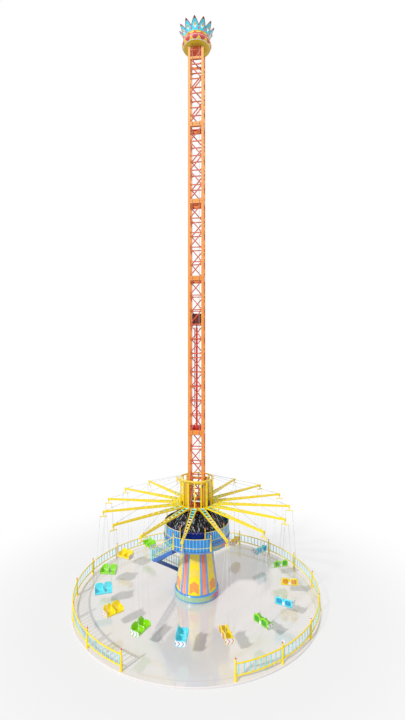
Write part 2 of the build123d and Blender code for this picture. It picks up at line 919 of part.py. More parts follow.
def upper_flight():
    start, corner, end = stair_points()
    frame = flight_frame(start, corner)
    run = frame.to_local_coords(landing_inner()).X - fit_gap
    drop = balcony_floor_level - landing_level
    return flight(frame, 0, run, deck_top + balcony_floor_level, drop, upper_risers)


def lower_flight():
    start, corner, end = stair_points()
    frame = flight_frame(corner, end)
    first = frame.to_local_coords(landing_inner()).X + fit_gap
    run = (end - corner).length - first
    return flight(frame, first, run, deck_top + landing_level, landing_level, lower_risers)


def stair_landing():
    start, corner, end = stair_points()
    inner = landing_inner()
    upper = flight_frame(start, corner)
    lower = flight_frame(corner, end)
    upper_end = upper.from_local_coords(Vector(upper.to_local_coords(inner).X, 0, 0))
    lower_start = lower.from_local_coords(Vector(lower.to_local_coords(inner).X, 0, 0))
    points = [(point.X, point.Y) for point in (corner, upper_end, inner, lower_start)]
    plate = make_face(Polyline(*points, close=True))
    return extrude(Pos(0, 0, deck_top + landing_level) * plate, -landing_thickness)


# Guard in the plane of a flight's outer stringer: two rails and upright bars
def stair_guard(frame, first, run, top_level, drop, rise):
    slope = (drop - rise) / run

    def foot(along):
        return top_level + fit_gap - slope * (along - first)

    outline = Sketch()
    last = first + run
    for level in (guard_low_rail, guard_height):
        points = [(first, foot(first) + level - guard_rail), (last, foot(last) + level - guard_rail),
                  (last, foot(last) + level), (first, foot(first) + level)]
        outline += make_face(Polyline(*points, close=True))
    count = round(run / guard_bar_pitch)
    pitch = (run - guard_bar) / count
    for index in range(count + 1):
        near = first + pitch * index
        far = near + guard_bar
        points = [(near, foot(near)), (far, foot(far)), (far, foot(far) + guard_height - guard_rail / 2),
                  (near, foot(near) + guard_height - guard_rail / 2)]
        outline += make_face(Polyline(*points, close=True))
    return frame.location * extrude(Plane.XZ * outline, guard_thickness)


def stair_railings():
    start, corner, end = stair_points()
    inner = landing_inner()
    upper = flight_frame(start, corner)
    lower = flight_frame(corner, end)
    upper_run = upper.to_local_coords(inner).X - fit_gap
    upper_drop = balcony_floor_level - landing_level
    first = lower.to_local_coords(inner).X + fit_gap
    lower_run = (end - corner).length - first
    top = deck_top + balcony_floor_level
    turn = deck_top + landing_level
    upper_rest = (corner - start).length - upper_run - 3 * fit_gap
    lower_rest = first - guard_thickness - 3 * fit_gap
    return [
        stair_guard(upper, 0, upper_run, top, upper_drop, upper_drop / upper_risers),
        stair_guard(lower, first, lower_run, turn, landing_level, landing_level / lower_risers),
        stair_guard(upper, upper_run + 2 * fit_gap, upper_rest, turn, 0, 0),
        stair_guard(lower, guard_thickness + fit_gap, lower_rest, turn, 0, 0),
    ]


os.makedirs("parts", exist_ok=True)
write("deck", deck())
write("tower_base", tower_base())
write("tower_legs", tower_legs())
for index, place in enumerate(("front", "right", "back", "left")):
    write(f"lattice_{place}", lattice_side(index))
write("flange_bands", flange_bands())
write("hoist_ropes", hoist_ropes())
write("ram_barrel", ram_barrel())
write("ram_stage", ram_stage())
write("ram_head", [ram_head(), ram_sheave()])
write("carriage_frame", carriage_frame())
write("guide_rollers", guide_rollers())
write("slewing_ring", slewing_ring())
write("cage_rings", cage_rings())
write("cage_posts", cage_posts())
write("arms", arms())
write("stays", stays())
seat = swing_seat()
for index in range(arm_count):
    write(f"swing_seat_{index + 1:02d}", [turned(piece, arm_pitch * index) for piece in seat])
write("fence_posts", fence_posts())
write("fence_right", fence_half(0))
write("fence_left", fence_half(fence_bay_count // 2))
write("skirt_yellow_panels", skirt_yellow_panels())
write("skirt_orange_panels", skirt_orange_panels())
write("skirt_ribs", skirt_ribs())
write("skirt_base_band", skirt_base_band())
write("gallery_floor", gallery_floor())
write("gallery_fascia", gallery_fascia())
write("gallery_railing", gallery_railing())
write("gallery_infill", gallery_infill())
write("balcony_floor", balcony_floor())
write("balcony_railing", balcony_railing())
write("machine_drum", machine_drum())
write("dome_gores", dome_gores())
write("crown_soffit", crown_soffit())
write("crown_red_band", crown_red_band())
write("crown_yellow_band", crown_yellow_band())
write("crown_petals", crown_petals())
write("head_frame", head_frame())
write("stair_upper_flight", upper_flight())
write("stair_lower_flight", lower_flight())
write("stair_landing", stair_landing())
write("stair_railings", stair_railings())
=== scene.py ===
import bpy
import json
import numpy as np
from functools import partial
from math import atan2, pi, radians
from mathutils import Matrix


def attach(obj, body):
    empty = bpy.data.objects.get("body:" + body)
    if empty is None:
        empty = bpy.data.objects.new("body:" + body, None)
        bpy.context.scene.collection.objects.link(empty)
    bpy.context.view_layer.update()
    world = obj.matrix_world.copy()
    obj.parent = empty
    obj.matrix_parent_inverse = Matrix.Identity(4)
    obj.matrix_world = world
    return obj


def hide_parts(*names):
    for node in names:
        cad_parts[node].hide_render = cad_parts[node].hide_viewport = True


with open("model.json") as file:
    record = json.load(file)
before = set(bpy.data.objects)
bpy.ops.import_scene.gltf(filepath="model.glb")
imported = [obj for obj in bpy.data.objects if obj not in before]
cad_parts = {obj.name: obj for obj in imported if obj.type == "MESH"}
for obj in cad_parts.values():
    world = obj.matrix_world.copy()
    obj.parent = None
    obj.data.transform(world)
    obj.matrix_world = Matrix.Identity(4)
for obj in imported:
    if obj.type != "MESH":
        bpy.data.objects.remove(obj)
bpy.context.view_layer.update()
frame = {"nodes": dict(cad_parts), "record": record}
print("stage: frame loaded")

deckTop = 0.060
armCount = 16
armPitch = 2 * pi / armCount


# Small mesh tools, all on whole arrays; a part is (vertices, [face arrays])

# several parts in one, each with its indices moved on by the vertices before it
def joined(parts):
    total, verts, faces = 0, [], []
    for points, polys in parts:
        verts.append(np.asarray(points, float).reshape(-1, 3))
        faces += [np.asarray(p) + total for p in polys if len(p)]
        total += len(verts[-1])
    return np.concatenate(verts), faces


# angle a and radius r give the point (r sin a, -r cos a), so that a = 0 is at the front
def onCircle(radius, angle, z=0.0):
    angle = np.asarray(angle, float)
    return np.stack(np.broadcast_arrays(radius * np.sin(angle), -radius * np.cos(angle), z), -1)


# count angles spread evenly over a whole turn
def evenTurn(count):
    return 2 * pi / count * np.arange(count)


# each vector divided by its own length
def unit(vectors):
    return vectors / np.linalg.norm(vectors, axis=1, keepdims=True)


# the faces of one part for all its copies, whose points follow one another
def repeated(polys, copies, size):
    steps = np.arange(copies)[:, None, None] * size
    return [(p[None] + steps).reshape(-1, p.shape[1]) for p in polys if len(p)]


# copies turned about Z: point (x, y) goes to (x cos a - y sin a, x sin a + y cos a)
def aroundZ(part, angles):
    points, polys = part
    angles = np.atleast_1d(np.asarray(angles, float))
    c, s = np.cos(angles)[:, None], np.sin(angles)[:, None]
    x, y, z = points[:, 0], points[:, 1], points[:, 2]
    many = np.stack([x * c - y * s, x * s + y * c, np.broadcast_to(z, (len(angles), len(z)))], -1)
    return many.reshape(-1, 3), repeated(polys, len(angles), len(points))


# a part shifted by x, y and z
def moved(part, x=0.0, y=0.0, z=0.0):
    return part[0] + np.array([x, y, z]), part[1]


# quads between the rows of a grid of rows x columns points, closed round either way when asked
def gridFaces(rows, cols, closeRows=False, closeCols=False):
    r = np.arange(rows if closeRows else rows - 1)[:, None]
    c = np.arange(cols if closeCols else cols - 1)[None]
    r2, c2 = (r + 1) % rows, (c + 1) % cols
    quads = np.stack(np.broadcast_arrays(r * cols + c, r * cols + c2, r2 * cols + c2, r2 * cols + c), -1)
    return quads.reshape(-1, 4)


# a profile of (radius, height) turned about Z: (r sin a, -r cos a, z); the profile closes on itself
def lathe(profile, count, first=0.0, sweep=2 * pi):
    profile = np.asarray(profile, float)
    whole = sweep > 2 * pi - 1e-6
    a = first + np.linspace(0, sweep, count if whole else count + 1, endpoint=not whole)[:, None]
    points, k = onCircle(profile[:, 0], a, profile[:, 1]), len(profile)
    faces = [gridFaces(len(a), k, whole, True)]
    if not whole:
        faces += [np.arange(k)[None], (len(a) - 1) * k + np.arange(k)[::-1][None]]
    return points.reshape(-1, 3), faces


# a ring of round section on a path: centre + radius * (cos t * side + sin t * up), its ends capped
def tube(path, radius, sides=8, closed=False, up=(0, 0, 1)):
    path = np.asarray(path, float)
    along = unit(np.roll(path, -1, 0) - np.roll(path, 1, 0) if closed else np.gradient(path, axis=0))
    side = unit(np.cross(along, np.asarray(up, float)))
    over = np.cross(side, along)
    t = np.linspace(0, 2 * pi, sides, endpoint=False)[None, :, None]
    size = np.broadcast_to(np.asarray(radius, float), (len(path),))[:, None, None]
    ring = path[:, None] + size * (np.cos(t) * side[:, None] + np.sin(t) * over[:, None])
    faces = [gridFaces(len(path), sides, closed, True)]
    if not closed:
        faces += [np.arange(sides)[::-1][None], (len(path) - 1) * sides + np.arange(sides)[None]]
    return ring.reshape(-1, 3), faces


# square bars from A to B: the eight corners are the ends plus half a width along each cross direction
def bars(starts, ends, width, depth, across=(0, 0, 1)):
    a, b = np.atleast_2d(np.asarray(starts, float)), np.atleast_2d(np.asarray(ends, float))
    along = unit(b - a)
    side = unit(np.cross(along, np.broadcast_to(np.asarray(across, float), along.shape)))
    up = np.cross(side, along)
    turn = np.array([[-1, -1], [1, -1], [1, 1], [-1, 1]]) / 2
    ring = turn[None, :, 0, None] * side[:, None] * width + turn[None, :, 1, None] * up[:, None] * depth
    points = np.concatenate([a[:, None] + ring, b[:, None] + ring], 1)
    box = np.array([[3, 2, 1, 0], [4, 5, 6, 7], [0, 1, 5, 4], [1, 2, 6, 5], [2, 3, 7, 6], [3, 0, 4, 7]])
    return points.reshape(-1, 3), repeated([box], len(a), 8)


# a flat outline of (u, v) pushed from depth w0 to w1; place turns the arrays u, v and w into x, y and z
def plate(outline, w0, w1, place):
    outline = np.asarray(outline, float)
    k = len(outline)
    u, v = np.tile(outline[:, 0], 2), np.tile(outline[:, 1], 2)
    w = np.repeat([w0, w1], k)
    points = np.stack(np.broadcast_arrays(*place(u, v, w)), -1)
    i = np.arange(k)
    j = (i + 1) % k
    return points, [i[::-1][None], (i + k)[None], np.stack([i, j, j + k, i + k], -1)]


# small round studs: rings of radius r cos t at height h sin t above the face, on each centre
def studs(centres, normals, radius, height, sides=8, rings=2):
    c, n = np.atleast_2d(np.asarray(centres, float)), np.atleast_2d(np.asarray(normals, float))
    n = np.broadcast_to(unit(n), c.shape)
    side = unit(np.cross(np.where(np.abs(n[:, 2:3]) > 0.9, [[1.0, 0, 0]], [[0, 0, 1.0]]), n))
    over = np.cross(n, side)
    t = np.linspace(0, pi / 2, rings + 1)[:-1]
    a = np.linspace(0, 2 * pi, sides, endpoint=False)
    ring = radius * np.cos(t)[None, :, None, None] * (np.cos(a)[None, None, :, None] * side[:, None, None]
                                                     + np.sin(a)[None, None, :, None] * over[:, None, None])
    ring = ring + (height * np.sin(t))[None, :, None, None] * n[:, None, None] + c[:, None, None]
    points = np.concatenate([ring.reshape(len(c), -1, 3), (c + height * n)[:, None]], 1)
    i = np.arange(sides)
    base = (rings - 1) * sides
    cap = np.stack([base + i, base + (i + 1) % sides, np.full(sides, rings * sides)], -1)
    faces = [gridFaces(rings, sides, False, True), cap, i[::-1][None]]
    return points.reshape(-1, 3), repeated(faces, len(c), points.shape[1])


# two layers of one grid as a closed sheet: front, back and the rim between them, all turned over when asked
def sheet(inner, outer, rows, cols, over=False):
    n, front = rows * cols, gridFaces(rows, cols)
    edge = np.concatenate([np.arange(cols), np.arange(1, rows) * cols + cols - 1,
                           (rows - 1) * cols + np.arange(cols - 2, -1, -1),
                           np.arange(rows - 2, 0, -1) * cols])
    after = np.roll(edge, -1)
    points = np.concatenate([inner.reshape(-1, 3), outer.reshape(-1, 3)])
    if over:
        return points, [front[:, ::-1] + n, front, np.stack([edge, edge + n, after + n, after], -1)]
    return points, [front + n, front[:, ::-1], np.stack([edge, after, after + n, edge + n], -1)]


# the mesh becomes an object with its material; smooth faces are split by angle, and a bevel cuts the edges
# over 50 degrees. A look is a key of looks
def piece(name, parts, look, body="base", replaced=(), angle=35, bevel=0.0, uv=None, smooth=True):
    points, polys = joined(parts)
    mesh = bpy.data.meshes.new(name)
    mesh.from_pydata(points.tolist(), [], [f for p in polys for f in p.tolist()])
    mesh.materials.append(looks[look])
    if uv is not None:
        layer = mesh.uv_layers.new(name="pattern")
        index = np.empty(len(mesh.loops), int)
        mesh.loops.foreach_get("vertex_index", index)
        layer.data.foreach_set("uv", np.asarray(uv, float)[index].ravel())
    mesh.update()
    if smooth:
        mesh.polygons.foreach_set("use_smooth", np.ones(len(mesh.polygons), bool))
        mesh.set_sharp_from_angle(angle=radians(angle))
    item = bpy.data.objects.new(name, mesh)
    bpy.context.scene.collection.objects.link(item)
    if bevel:
        rounding = item.modifiers.new("rounding", "BEVEL")
        rounding.width, rounding.segments, rounding.limit_method = bevel, 1, "ANGLE"
        rounding.angle_limit = radians(50)
        rounding.harden_normals = True
    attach(item, body)
    if replaced:
        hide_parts(*replaced)
    return item


# points at even angles along an arc
def arcPath(radius, start, end, z, steps):
    return onCircle(radius, np.linspace(start, end, steps), z)


# Node groups shared by the materials

# an empty node group with its named sockets and its two end nodes
def newGroup(name, inputs, outputs):
    group = bpy.data.node_groups.new(name, "ShaderNodeTree")
    for title, kind, value in inputs:
        socket = group.interface.new_socket(title, in_out="INPUT", socket_type=kind)
        if value is not None:
            socket.default_value = value
    for title, kind in outputs:
        group.interface.new_socket(title, in_out="OUTPUT", socket_type=kind)
    return group, group.nodes.new("NodeGroupInput"), group.nodes.new("NodeGroupOutput")


# each named socket gets a link when it is given another output, or else the plain value
def feed(tree, made, values):
    for socket, value in values.items():
        if hasattr(value, "is_output"):
            tree.links.new(value, made.inputs[socket])
        else:
            made.inputs[socket].default_value = value


# one shader node: its settings first, then its sockets
def node(tree, kind, values=None, **settings):
    made = tree.nodes.new("ShaderNode" + kind)
    for key, value in settings.items():
        setattr(made, key, value)
    feed(tree, made, values or {})
    return made


# a maths node: its sockets take numbers or other outputs in turn
def maths(tree, operation, *values):
    return node(tree, "Math", dict(enumerate(values)), operation=operation).outputs[0]


# a value carried in line from one span to another and held at its ends
def mapped(tree, value, low, high, toLow=0.0, toHigh=1.0, **settings):
    spans = {"Value": value, "From Min": low, "From Max": high, "To Min": toLow, "To Max": toHigh}
    return node(tree, "MapRange", spans, **settings).outputs[0]


# the shading point in the piece's own metres
def objectPlace(tree):
    return node(tree, "TexCoord").outputs["Object"]


# cloudy value of 0 to 1 at each point of a vector
def noise(tree, vector, scale, detail):
    return node(tree, "TexNoise", {"Vector": vector, "Scale": scale, "Detail": detail}).outputs["Fac"]


# two colours, or outputs that give them: the first at factor 0, the second at 1
def mixed(tree, factor, first, second, **settings):
    first, second = [value if hasattr(value, "is_output") else (*value, 1) for value in (first, second)]
    return node(tree, "Mix", {0: factor, 6: first, 7: second}, data_type="RGBA", **settings).outputs[2]


# sprayed paint: a broad and a fine noise shift the colour, the fine one also the gloss and the skin
def makePaintSkin():
    number = "NodeSocketFloat"
    group, inside, outside = newGroup("paintSkin", [
        ("Color", "NodeSocketColor", (0.8, 0.8, 0.8, 1)), ("Variation", number, 0.08), ("Scale", number, 6.0),
        ("Roughness", number, 0.35), ("Relief", number, 0.1), ("Foot dust", number, 0.15)],
        [("Color", "NodeSocketColor"), ("Roughness", number), ("Normal", "NodeSocketVector")])
    given = inside.outputs
    place = objectPlace(group)
    broad, fine = noise(group, place, given["Scale"], 3.0), noise(group, place, 160.0, 2.0)
    shift = maths(group, "MULTIPLY_ADD", mapped(group, broad, 0.3, 0.7, -1.0, 1.0), given["Variation"], 1.0)
    shaded = node(group, "VectorMath", {0: given["Color"], "Scale": shift}, operation="SCALE").outputs[0]
    height = node(group, "SeparateXYZ", {"Vector": place}).outputs["Z"]
    dust = maths(group, "MULTIPLY", mapped(group, height, 0.06, 0.35, 1.0, 0.0), given["Foot dust"])
    dust = maths(group, "MULTIPLY", dust, broad)
    feed(group, outside, {
        "Color": mixed(group, dust, shaded, (0.62, 0.57, 0.5)),
        "Roughness": maths(group, "MULTIPLY_ADD", fine, 0.12, given["Roughness"]),
        "Normal": node(group, "Bump", {
            "Strength": given["Relief"], "Distance": 0.002, "Height": fine}).outputs[0]})
    return group


# bands round the axis: the angle atan2(x, -y) and the height, each as a share of one repeat
def makeRingPlace():
    number = "NodeSocketFloat"
    group, inside, outside = newGroup(
        "ringPlace", [("Repeats", number, 12.0), ("Low", number, 0.0), ("High", number, 1.0)],
        [(title, number) for title in ("Angle share", "Height share", "Turn", "Radius")])
    given = inside.outputs
    axes = node(group, "SeparateXYZ", {"Vector": objectPlace(group)}).outputs
    angle = maths(group, "ARCTAN2", axes["X"], maths(group, "MULTIPLY", axes["Y"], -1.0))
    turn = mapped(group, angle, -pi, pi)
    flat = node(group, "CombineXYZ", {"X": axes["X"], "Y": axes["Y"]}).outputs[0]
    feed(group, outside, {
        "Angle share": maths(group, "FRACT", maths(group, "MULTIPLY", turn, given["Repeats"])),
        "Height share": mapped(group, axes["Z"], given["Low"], given["High"]), "Turn": turn,
        "Radius": node(group, "VectorMath", {0: flat}, operation="LENGTH").outputs["Value"]})
    return group


paintSkin = makePaintSkin()
ringPlace = makeRingPlace()


# an empty material with its tree and its shader
def freshMaterial(name):
    look = bpy.data.materials.new(name)
    look.use_nodes = True
    tree = look.node_tree
    return look, tree, tree.nodes["Principled BSDF"]


# constants sit on the shader's own sockets; the skin group gives colour, gloss and relief
def paint(name, color, roughness=0.3, metallic=0.0, coat=0.0, variation=0.06, scale=5.0, relief=0.08,
          dust=0.15, pattern=None, glow=0.0, specular=0.5, coatIor=1.5):
    look, tree, shader = freshMaterial(name)
    skin = node(tree, "Group", {
        "Color": pattern(tree) if pattern else (*color, 1), "Variation": variation, "Scale": scale,
        "Roughness": roughness, "Relief": relief, "Foot dust": dust}, node_tree=paintSkin).outputs
    feed(tree, shader, {
        "Base Color": skin["Color"], "Roughness": skin["Roughness"], "Normal": skin["Normal"],
        "Metallic": metallic, "Specular IOR Level": specular, "Coat Weight": coat, "Coat Roughness": 0.08,
        "Coat IOR": coatIor})
    if glow:
        feed(tree, shader, {"Emission Color": skin["Color"], "Emission Strength": glow})
    return look


# colour ramp: each stop is (place, colour)
def ramp(tree, value, stops, constant=False):
    made = node(tree, "ValToRGB", {"Fac": value})
    made.color_ramp.interpolation = "CONSTANT" if constant else "LINEAR"
    cells = made.color_ramp.elements
    while len(cells) < len(stops):
        cells.new(0.5)
    for cell, (at, color) in zip(cells, stops):
        cell.position = at
        cell.color = (*color, 1)
    return made.outputs["Color"]


# the outputs of the shared ring group with its own repeats and height span
def ringGroup(tree, repeats=12.0, low=0.0, high=1.0):
    return node(tree, "Group", {"Repeats": repeats, "Low": low, "High": high}, node_tree=ringPlace).outputs


# colour by height: (z - low) / (high - low) picks the stop, in steps or smoothly
def heightBands(low, high, stops, constant, tree):
    return ramp(tree, ringGroup(tree, 1.0, low, high)["Height share"], stops, constant)


# Colours, matched to the photograph and written as linear values

# a display value c of 0 to 1 becomes ((c + 0.055) / 1.055) ^ 2.4, or c / 12.92 where it is small
def srgb(r, g, b):
    c = np.array([r, g, b]) / 255
    return tuple(float(v) for v in np.where(c <= 0.04045, c / 12.92, ((c + 0.055) / 1.055) ** 2.4))


colors = {
    "gold": srgb(226, 182, 30), "cyan": srgb(70, 205, 225), "pink": srgb(236, 120, 130),
    "blue": srgb(42, 128, 206), "navy": srgb(22, 46, 130), "ribBlue": srgb(100, 165, 235),
    "mint": srgb(120, 235, 190), "green": srgb(142, 220, 16), "white": srgb(240, 240, 238),
    "black": srgb(12, 12, 14), "rainbowPink": srgb(215, 60, 130), "deckPale": srgb(230, 225, 223),
    "deckSeamAndShadow": srgb(222, 214, 211),
}


# pale deck: sixteen radial seams, and near the fence one darker ring of painted shadow cast by the fence rail
def deckPattern(tree):
    ring = ringGroup(tree, 16.0, 0.0, 0.06)
    seam = ramp(tree, ring["Angle share"],
                [(0.0, (0, 0, 0)), (0.0015, (1, 1, 1)), (0.9985, (1, 1, 1)), (1.0, (0, 0, 0))])
    pale, dark = colors["deckPale"], colors["deckSeamAndShadow"]
    far = mapped(tree, ring["Radius"], 0.0, 4.6)
    # the darker ring just inside the fence is painted shadow of the fence rail
    paleWithRailShadow = ramp(tree, far, [(0.0, pale), (0.925, pale), (0.93, dark), (0.936, pale)])
    return mixed(tree, seam, dark, paleWithRailShadow)


# tones by height: the tower's paint is paler and yellower towards its top
towerTones = partial(heightBands, 0.0, 21.0, [
    (0.0, srgb(238, 138, 34)), (0.5, srgb(240, 146, 48)), (1.0, srgb(250, 182, 104))], False)
braceTones = partial(heightBands, 0.0, 21.0, [
    (0.0, srgb(226, 92, 40)), (0.5, srgb(218, 90, 40)), (1.0, srgb(226, 108, 60))], False)
# salmon skirt panels by height: a painted sheen makes them paler towards the foot, deeper salmon towards the
# top
salmonWithPaintedSheen = partial(heightBands, 0.336, 2.281, [
    (0.0, srgb(246, 160, 132)), (0.3, srgb(243, 142, 112)), (1.0, srgb(234, 92, 64))], False)
sectionGlow = [(0.0, colors["pink"]), (3.229 / 21, srgb(110, 230, 215)), (8.903 / 21, srgb(205, 235, 70)),
               (11.74 / 21, srgb(250, 225, 60)), (14.577 / 21, srgb(245, 130, 165)),
               (17.414 / 21, colors["mint"])]


# printed band: green over the front, pink over the right and the back, with thin darker lines
def rainbow(low, high, tree):
    ring = ringGroup(tree, 2.0, low, high)
    pink = colors["rainbowPink"]
    hue = ramp(tree, ring["Turn"], [
        (0.0, pink), (0.2, srgb(120, 190, 215)), (0.36, srgb(158, 206, 164)), (0.5, srgb(158, 196, 160)),
        (0.62, srgb(176, 196, 140)), (0.68, pink), (1.0, pink)])
    lines = maths(tree, "FRACT", maths(tree, "MULTIPLY", ring["Height share"], 6.0))
    white, grey = (1, 1, 1), (0.35, 0.35, 0.35)
    dark = ramp(tree, lines, [(0.0, grey), (0.12, white), (0.88, white), (1.0, grey)])
    return mixed(tree, 0.45, hue, dark, blend_type="MULTIPLY")


# fascia: the printed strip below and plain blue above it
def fasciaPattern(tree):
    share = ringGroup(tree, 1.0, 2.08, 2.281)["Height share"]
    upper = ramp(tree, share, [(0.0, (0, 0, 0)), (0.70, (1, 1, 1))], True)
    return mixed(tree, upper, rainbow(2.10, 2.22, tree), colors["blue"])


# crimson over the front, turning to orange at the left and right
def crimson(tree):
    side, front = srgb(226, 96, 50), srgb(208, 58, 70)
    return ramp(tree, ringGroup(tree)["Turn"], [(0.27, side), (0.40, front), (0.56, front), (0.72, side)])


# creased cover: black with pale thin streaks of painted highlight, where a noise drawn out along the slope is
# close to 0.63
def paintedPleatHighlights(tree):
    ring = ringGroup(tree, 1.0, 2.69, 3.18)
    around = maths(tree, "MULTIPLY", ring["Turn"], 150.0)
    along = maths(tree, "MULTIPLY", ring["Height share"], 3.5)
    place = node(tree, "CombineXYZ", {"X": around, "Y": along}).outputs[0]
    black = colors["black"]
    return ramp(tree, noise(tree, place, 1.0, 2.0), [
        (0.0, black), (0.55, black), (0.60, srgb(86, 84, 92)), (0.635, srgb(214, 218, 226)), (0.67, black)])


chevron = {"pitch": 0.115, "slope": 0.9, "middle": 0.09}


# white side panel with chevrons: the stripe is where fract((x + slope |y - middle|) / pitch) is over about
# 0.77, with x and y from the pattern's own UV
def chevronStripes(color, tree):
    place = node(tree, "UVMap", uv_map="pattern").outputs[0]
    axes = node(tree, "SeparateXYZ", {"Vector": place}).outputs
    lean = maths(tree, "ABSOLUTE", maths(tree, "SUBTRACT", axes["Y"], chevron["middle"]))
    lean = maths(tree, "MULTIPLY_ADD", lean, chevron["slope"], axes["X"])
    share = maths(tree, "FRACT", maths(tree, "DIVIDE", lean, chevron["pitch"]))
    return ramp(tree, share, [(0.0, colors["white"]), (0.76, colors["white"]), (0.78, color), (1.0, color)])


# wire rope: a diagonal wave of the place gives slanting strands as relief, and as painted shade that darkens
# the grooves between them
def ropeLook(name, color):
    look, tree, shader = freshMaterial(name)
    wave = node(tree, "TexWave", {"Vector": objectPlace(tree), "Scale": 60.0, "Distortion": 1.0},
                bands_direction="DIAGONAL").outputs["Fac"]
    tone = ramp(tree, wave, [(0.0, tuple(v * 0.6 for v in color)), (1.0, color)])
    bump = node(tree, "Bump", {"Strength": 0.4, "Distance": 0.002, "Height": wave}).outputs[0]
    feed(tree, shader, {"Base Color": tone, "Normal": bump, "Metallic": 0.6, "Roughness": 0.4})
    return look


looks = {
    "deck_panel": paint("deckPaint", None, 0.03, coat=1.0, coatIor=1.8, variation=0.025, scale=0.7,
                        relief=0.02, dust=0.0, pattern=deckPattern),
    "dark_steel": paint("darkSteel", srgb(70, 66, 70), 0.4, metallic=0.3),
    "tower_orange": paint("towerPaint", None, 0.32, coat=0.2, variation=0.05, scale=2.0, pattern=towerTones),
    "brace_orange": paint("bracePaint", None, 0.36, variation=0.08, scale=4.0, pattern=braceTones),
    "band_orange": paint("bandPaint", srgb(240, 150, 62), 0.35, coat=0.2),
    "rope_steel": ropeLook("ropeSteel", srgb(190, 186, 190)),
    "ram_red": paint("ramPaint", srgb(216, 36, 26), 0.25, coat=0.4),
    "ram_chrome": paint("rodChrome", srgb(205, 205, 210), 0.1, metallic=1.0, variation=0.03, relief=0.02),
    "head_maroon": paint("headPaint", srgb(110, 34, 28), 0.4),
    "carriage_yellow": paint("carriagePaint", colors["gold"], 0.35, coat=0.2),
    "roller_rubber": paint("rollerRubber", srgb(38, 38, 40), 0.7, relief=0.3),
    "ride_yellow": paint("ridePaint", srgb(250, 222, 4), 0.36, coat=0.15, variation=0.05),
    "stay_steel": ropeLook("staySteel", srgb(194, 195, 204)),
    "panel_yellow": paint("skirtYellow", srgb(253, 224, 6), 0.3, coat=0.2, variation=0.04),
    "panel_orange": paint("skirtSalmon", None, 0.24, coat=0.4, variation=0.10, scale=2.5,
                          pattern=salmonWithPaintedSheen),
    "rib_blue": paint("ribPaint", colors["ribBlue"], 0.25, coat=0.5),
    "band_rainbow": paint("bandPrint", None, 0.22, coat=0.5, variation=0.04,
                          pattern=partial(rainbow, 0.06, 0.336)),
    "floor_grey": paint("checkerPlate", srgb(120, 140, 178), 0.45, metallic=0.2, relief=0.3),
    "infill_blue": paint("infillPaint", colors["blue"], 0.22, coat=0.5, variation=0.1, scale=3.0),
    "drum_blue": paint("drumPaint", colors["navy"], 0.2, coat=0.6, variation=0.1),
    # the dome's colour carries painted highlight streaks on its pleats
    "dome_black": paint("domeGloss", None, 0.2, specular=0.2, pattern=paintedPleatHighlights, variation=0.1, scale=3.0,
                        relief=0.03, dust=0.0),
    "soffit_olive": paint("soffitPaint", srgb(232, 208, 60), 0.45, variation=0.07, scale=3.0),
    "crown_red": paint("crownRed", None, 0.22, coat=0.5, variation=0.08, scale=4.0, pattern=crimson),
    "crown_yellow": paint("crownYellow", srgb(250, 214, 60), 0.22, coat=0.6),
    "petal_cyan": paint("petalPaint", srgb(66, 222, 246), 0.22, coat=0.6, variation=0.14, scale=4.0),
    "stair_blue": paint("stairPaint", srgb(46, 104, 186), 0.32, coat=0.3, variation=0.08),
    "guard_cyan": paint("guardPaint", colors["cyan"], 0.3, coat=0.3),
    "seat_cyan": paint("seatCyan", srgb(92, 226, 242), 0.18, coat=0.7, variation=0.04),
    "seat_yellow": paint("seatYellow", srgb(250, 222, 14), 0.18, coat=0.7, variation=0.04),
    "seat_green": paint("seatGreen", colors["green"], 0.18, coat=0.7, variation=0.04),
    "white": paint("whiteGelcoat", colors["white"], 0.22, coat=0.5, variation=0.03),
    "knobRed": paint("knobRed", srgb(232, 56, 40), 0.2, coat=0.7),
    "slatCyan": paint("slatCyan", srgb(126, 234, 250), 0.28, coat=0.3),
    "pipePink": paint("pipePaint", srgb(238, 150, 138), 0.3, coat=0.3),
    "goldRing": paint("goldRing", srgb(226, 176, 40), 0.25, coat=0.4),
    "maroonEdge": paint("petalEdge", srgb(150, 34, 38), 0.3, coat=0.4),
    "gem": paint("gemPaint", srgb(244, 176, 40), 0.12, coat=0.9, variation=0.25, scale=14.0),
    "sectionLamp": paint("sectionLamp", None, 0.2, coat=0.6, variation=0.02,
                         pattern=partial(heightBands, 0.0, 21.0, sectionGlow, True), glow=0.25),
    "whiteLamp": paint("whiteLamp", srgb(254, 250, 206), 0.2, coat=0.6, variation=0.02, glow=0.2),
    "orangeLamp": paint("orangeLamp", srgb(236, 44, 30), 0.2, coat=0.6, variation=0.05, glow=0.15),
    "chainSteel": paint("chainSteel", srgb(225, 228, 232), 0.32, metallic=0.3, variation=0.08,
                        scale=30.0, dust=0.0),
    "fascia": paint("fasciaPrint", None, 0.22, coat=0.5, variation=0.04, pattern=fasciaPattern),
    "scallopBlue": paint("scallopPaint", srgb(60, 154, 230), 0.24, coat=0.5),
    "bandCoral": paint("bandCoral", srgb(228, 84, 48), 0.22, coat=0.6, variation=0.08),
    "chevronOrange": paint("chevronOrange", srgb(238, 174, 76), 0.25, coat=0.3),
    "chevronGold": paint("chevronGold", srgb(240, 206, 0), 0.28, coat=0.2),
    "railPale": paint("railPale", srgb(240, 216, 110), 0.3, coat=0.3),
    "railCream": paint("railCream", srgb(240, 220, 120), 0.3, coat=0.3),
}
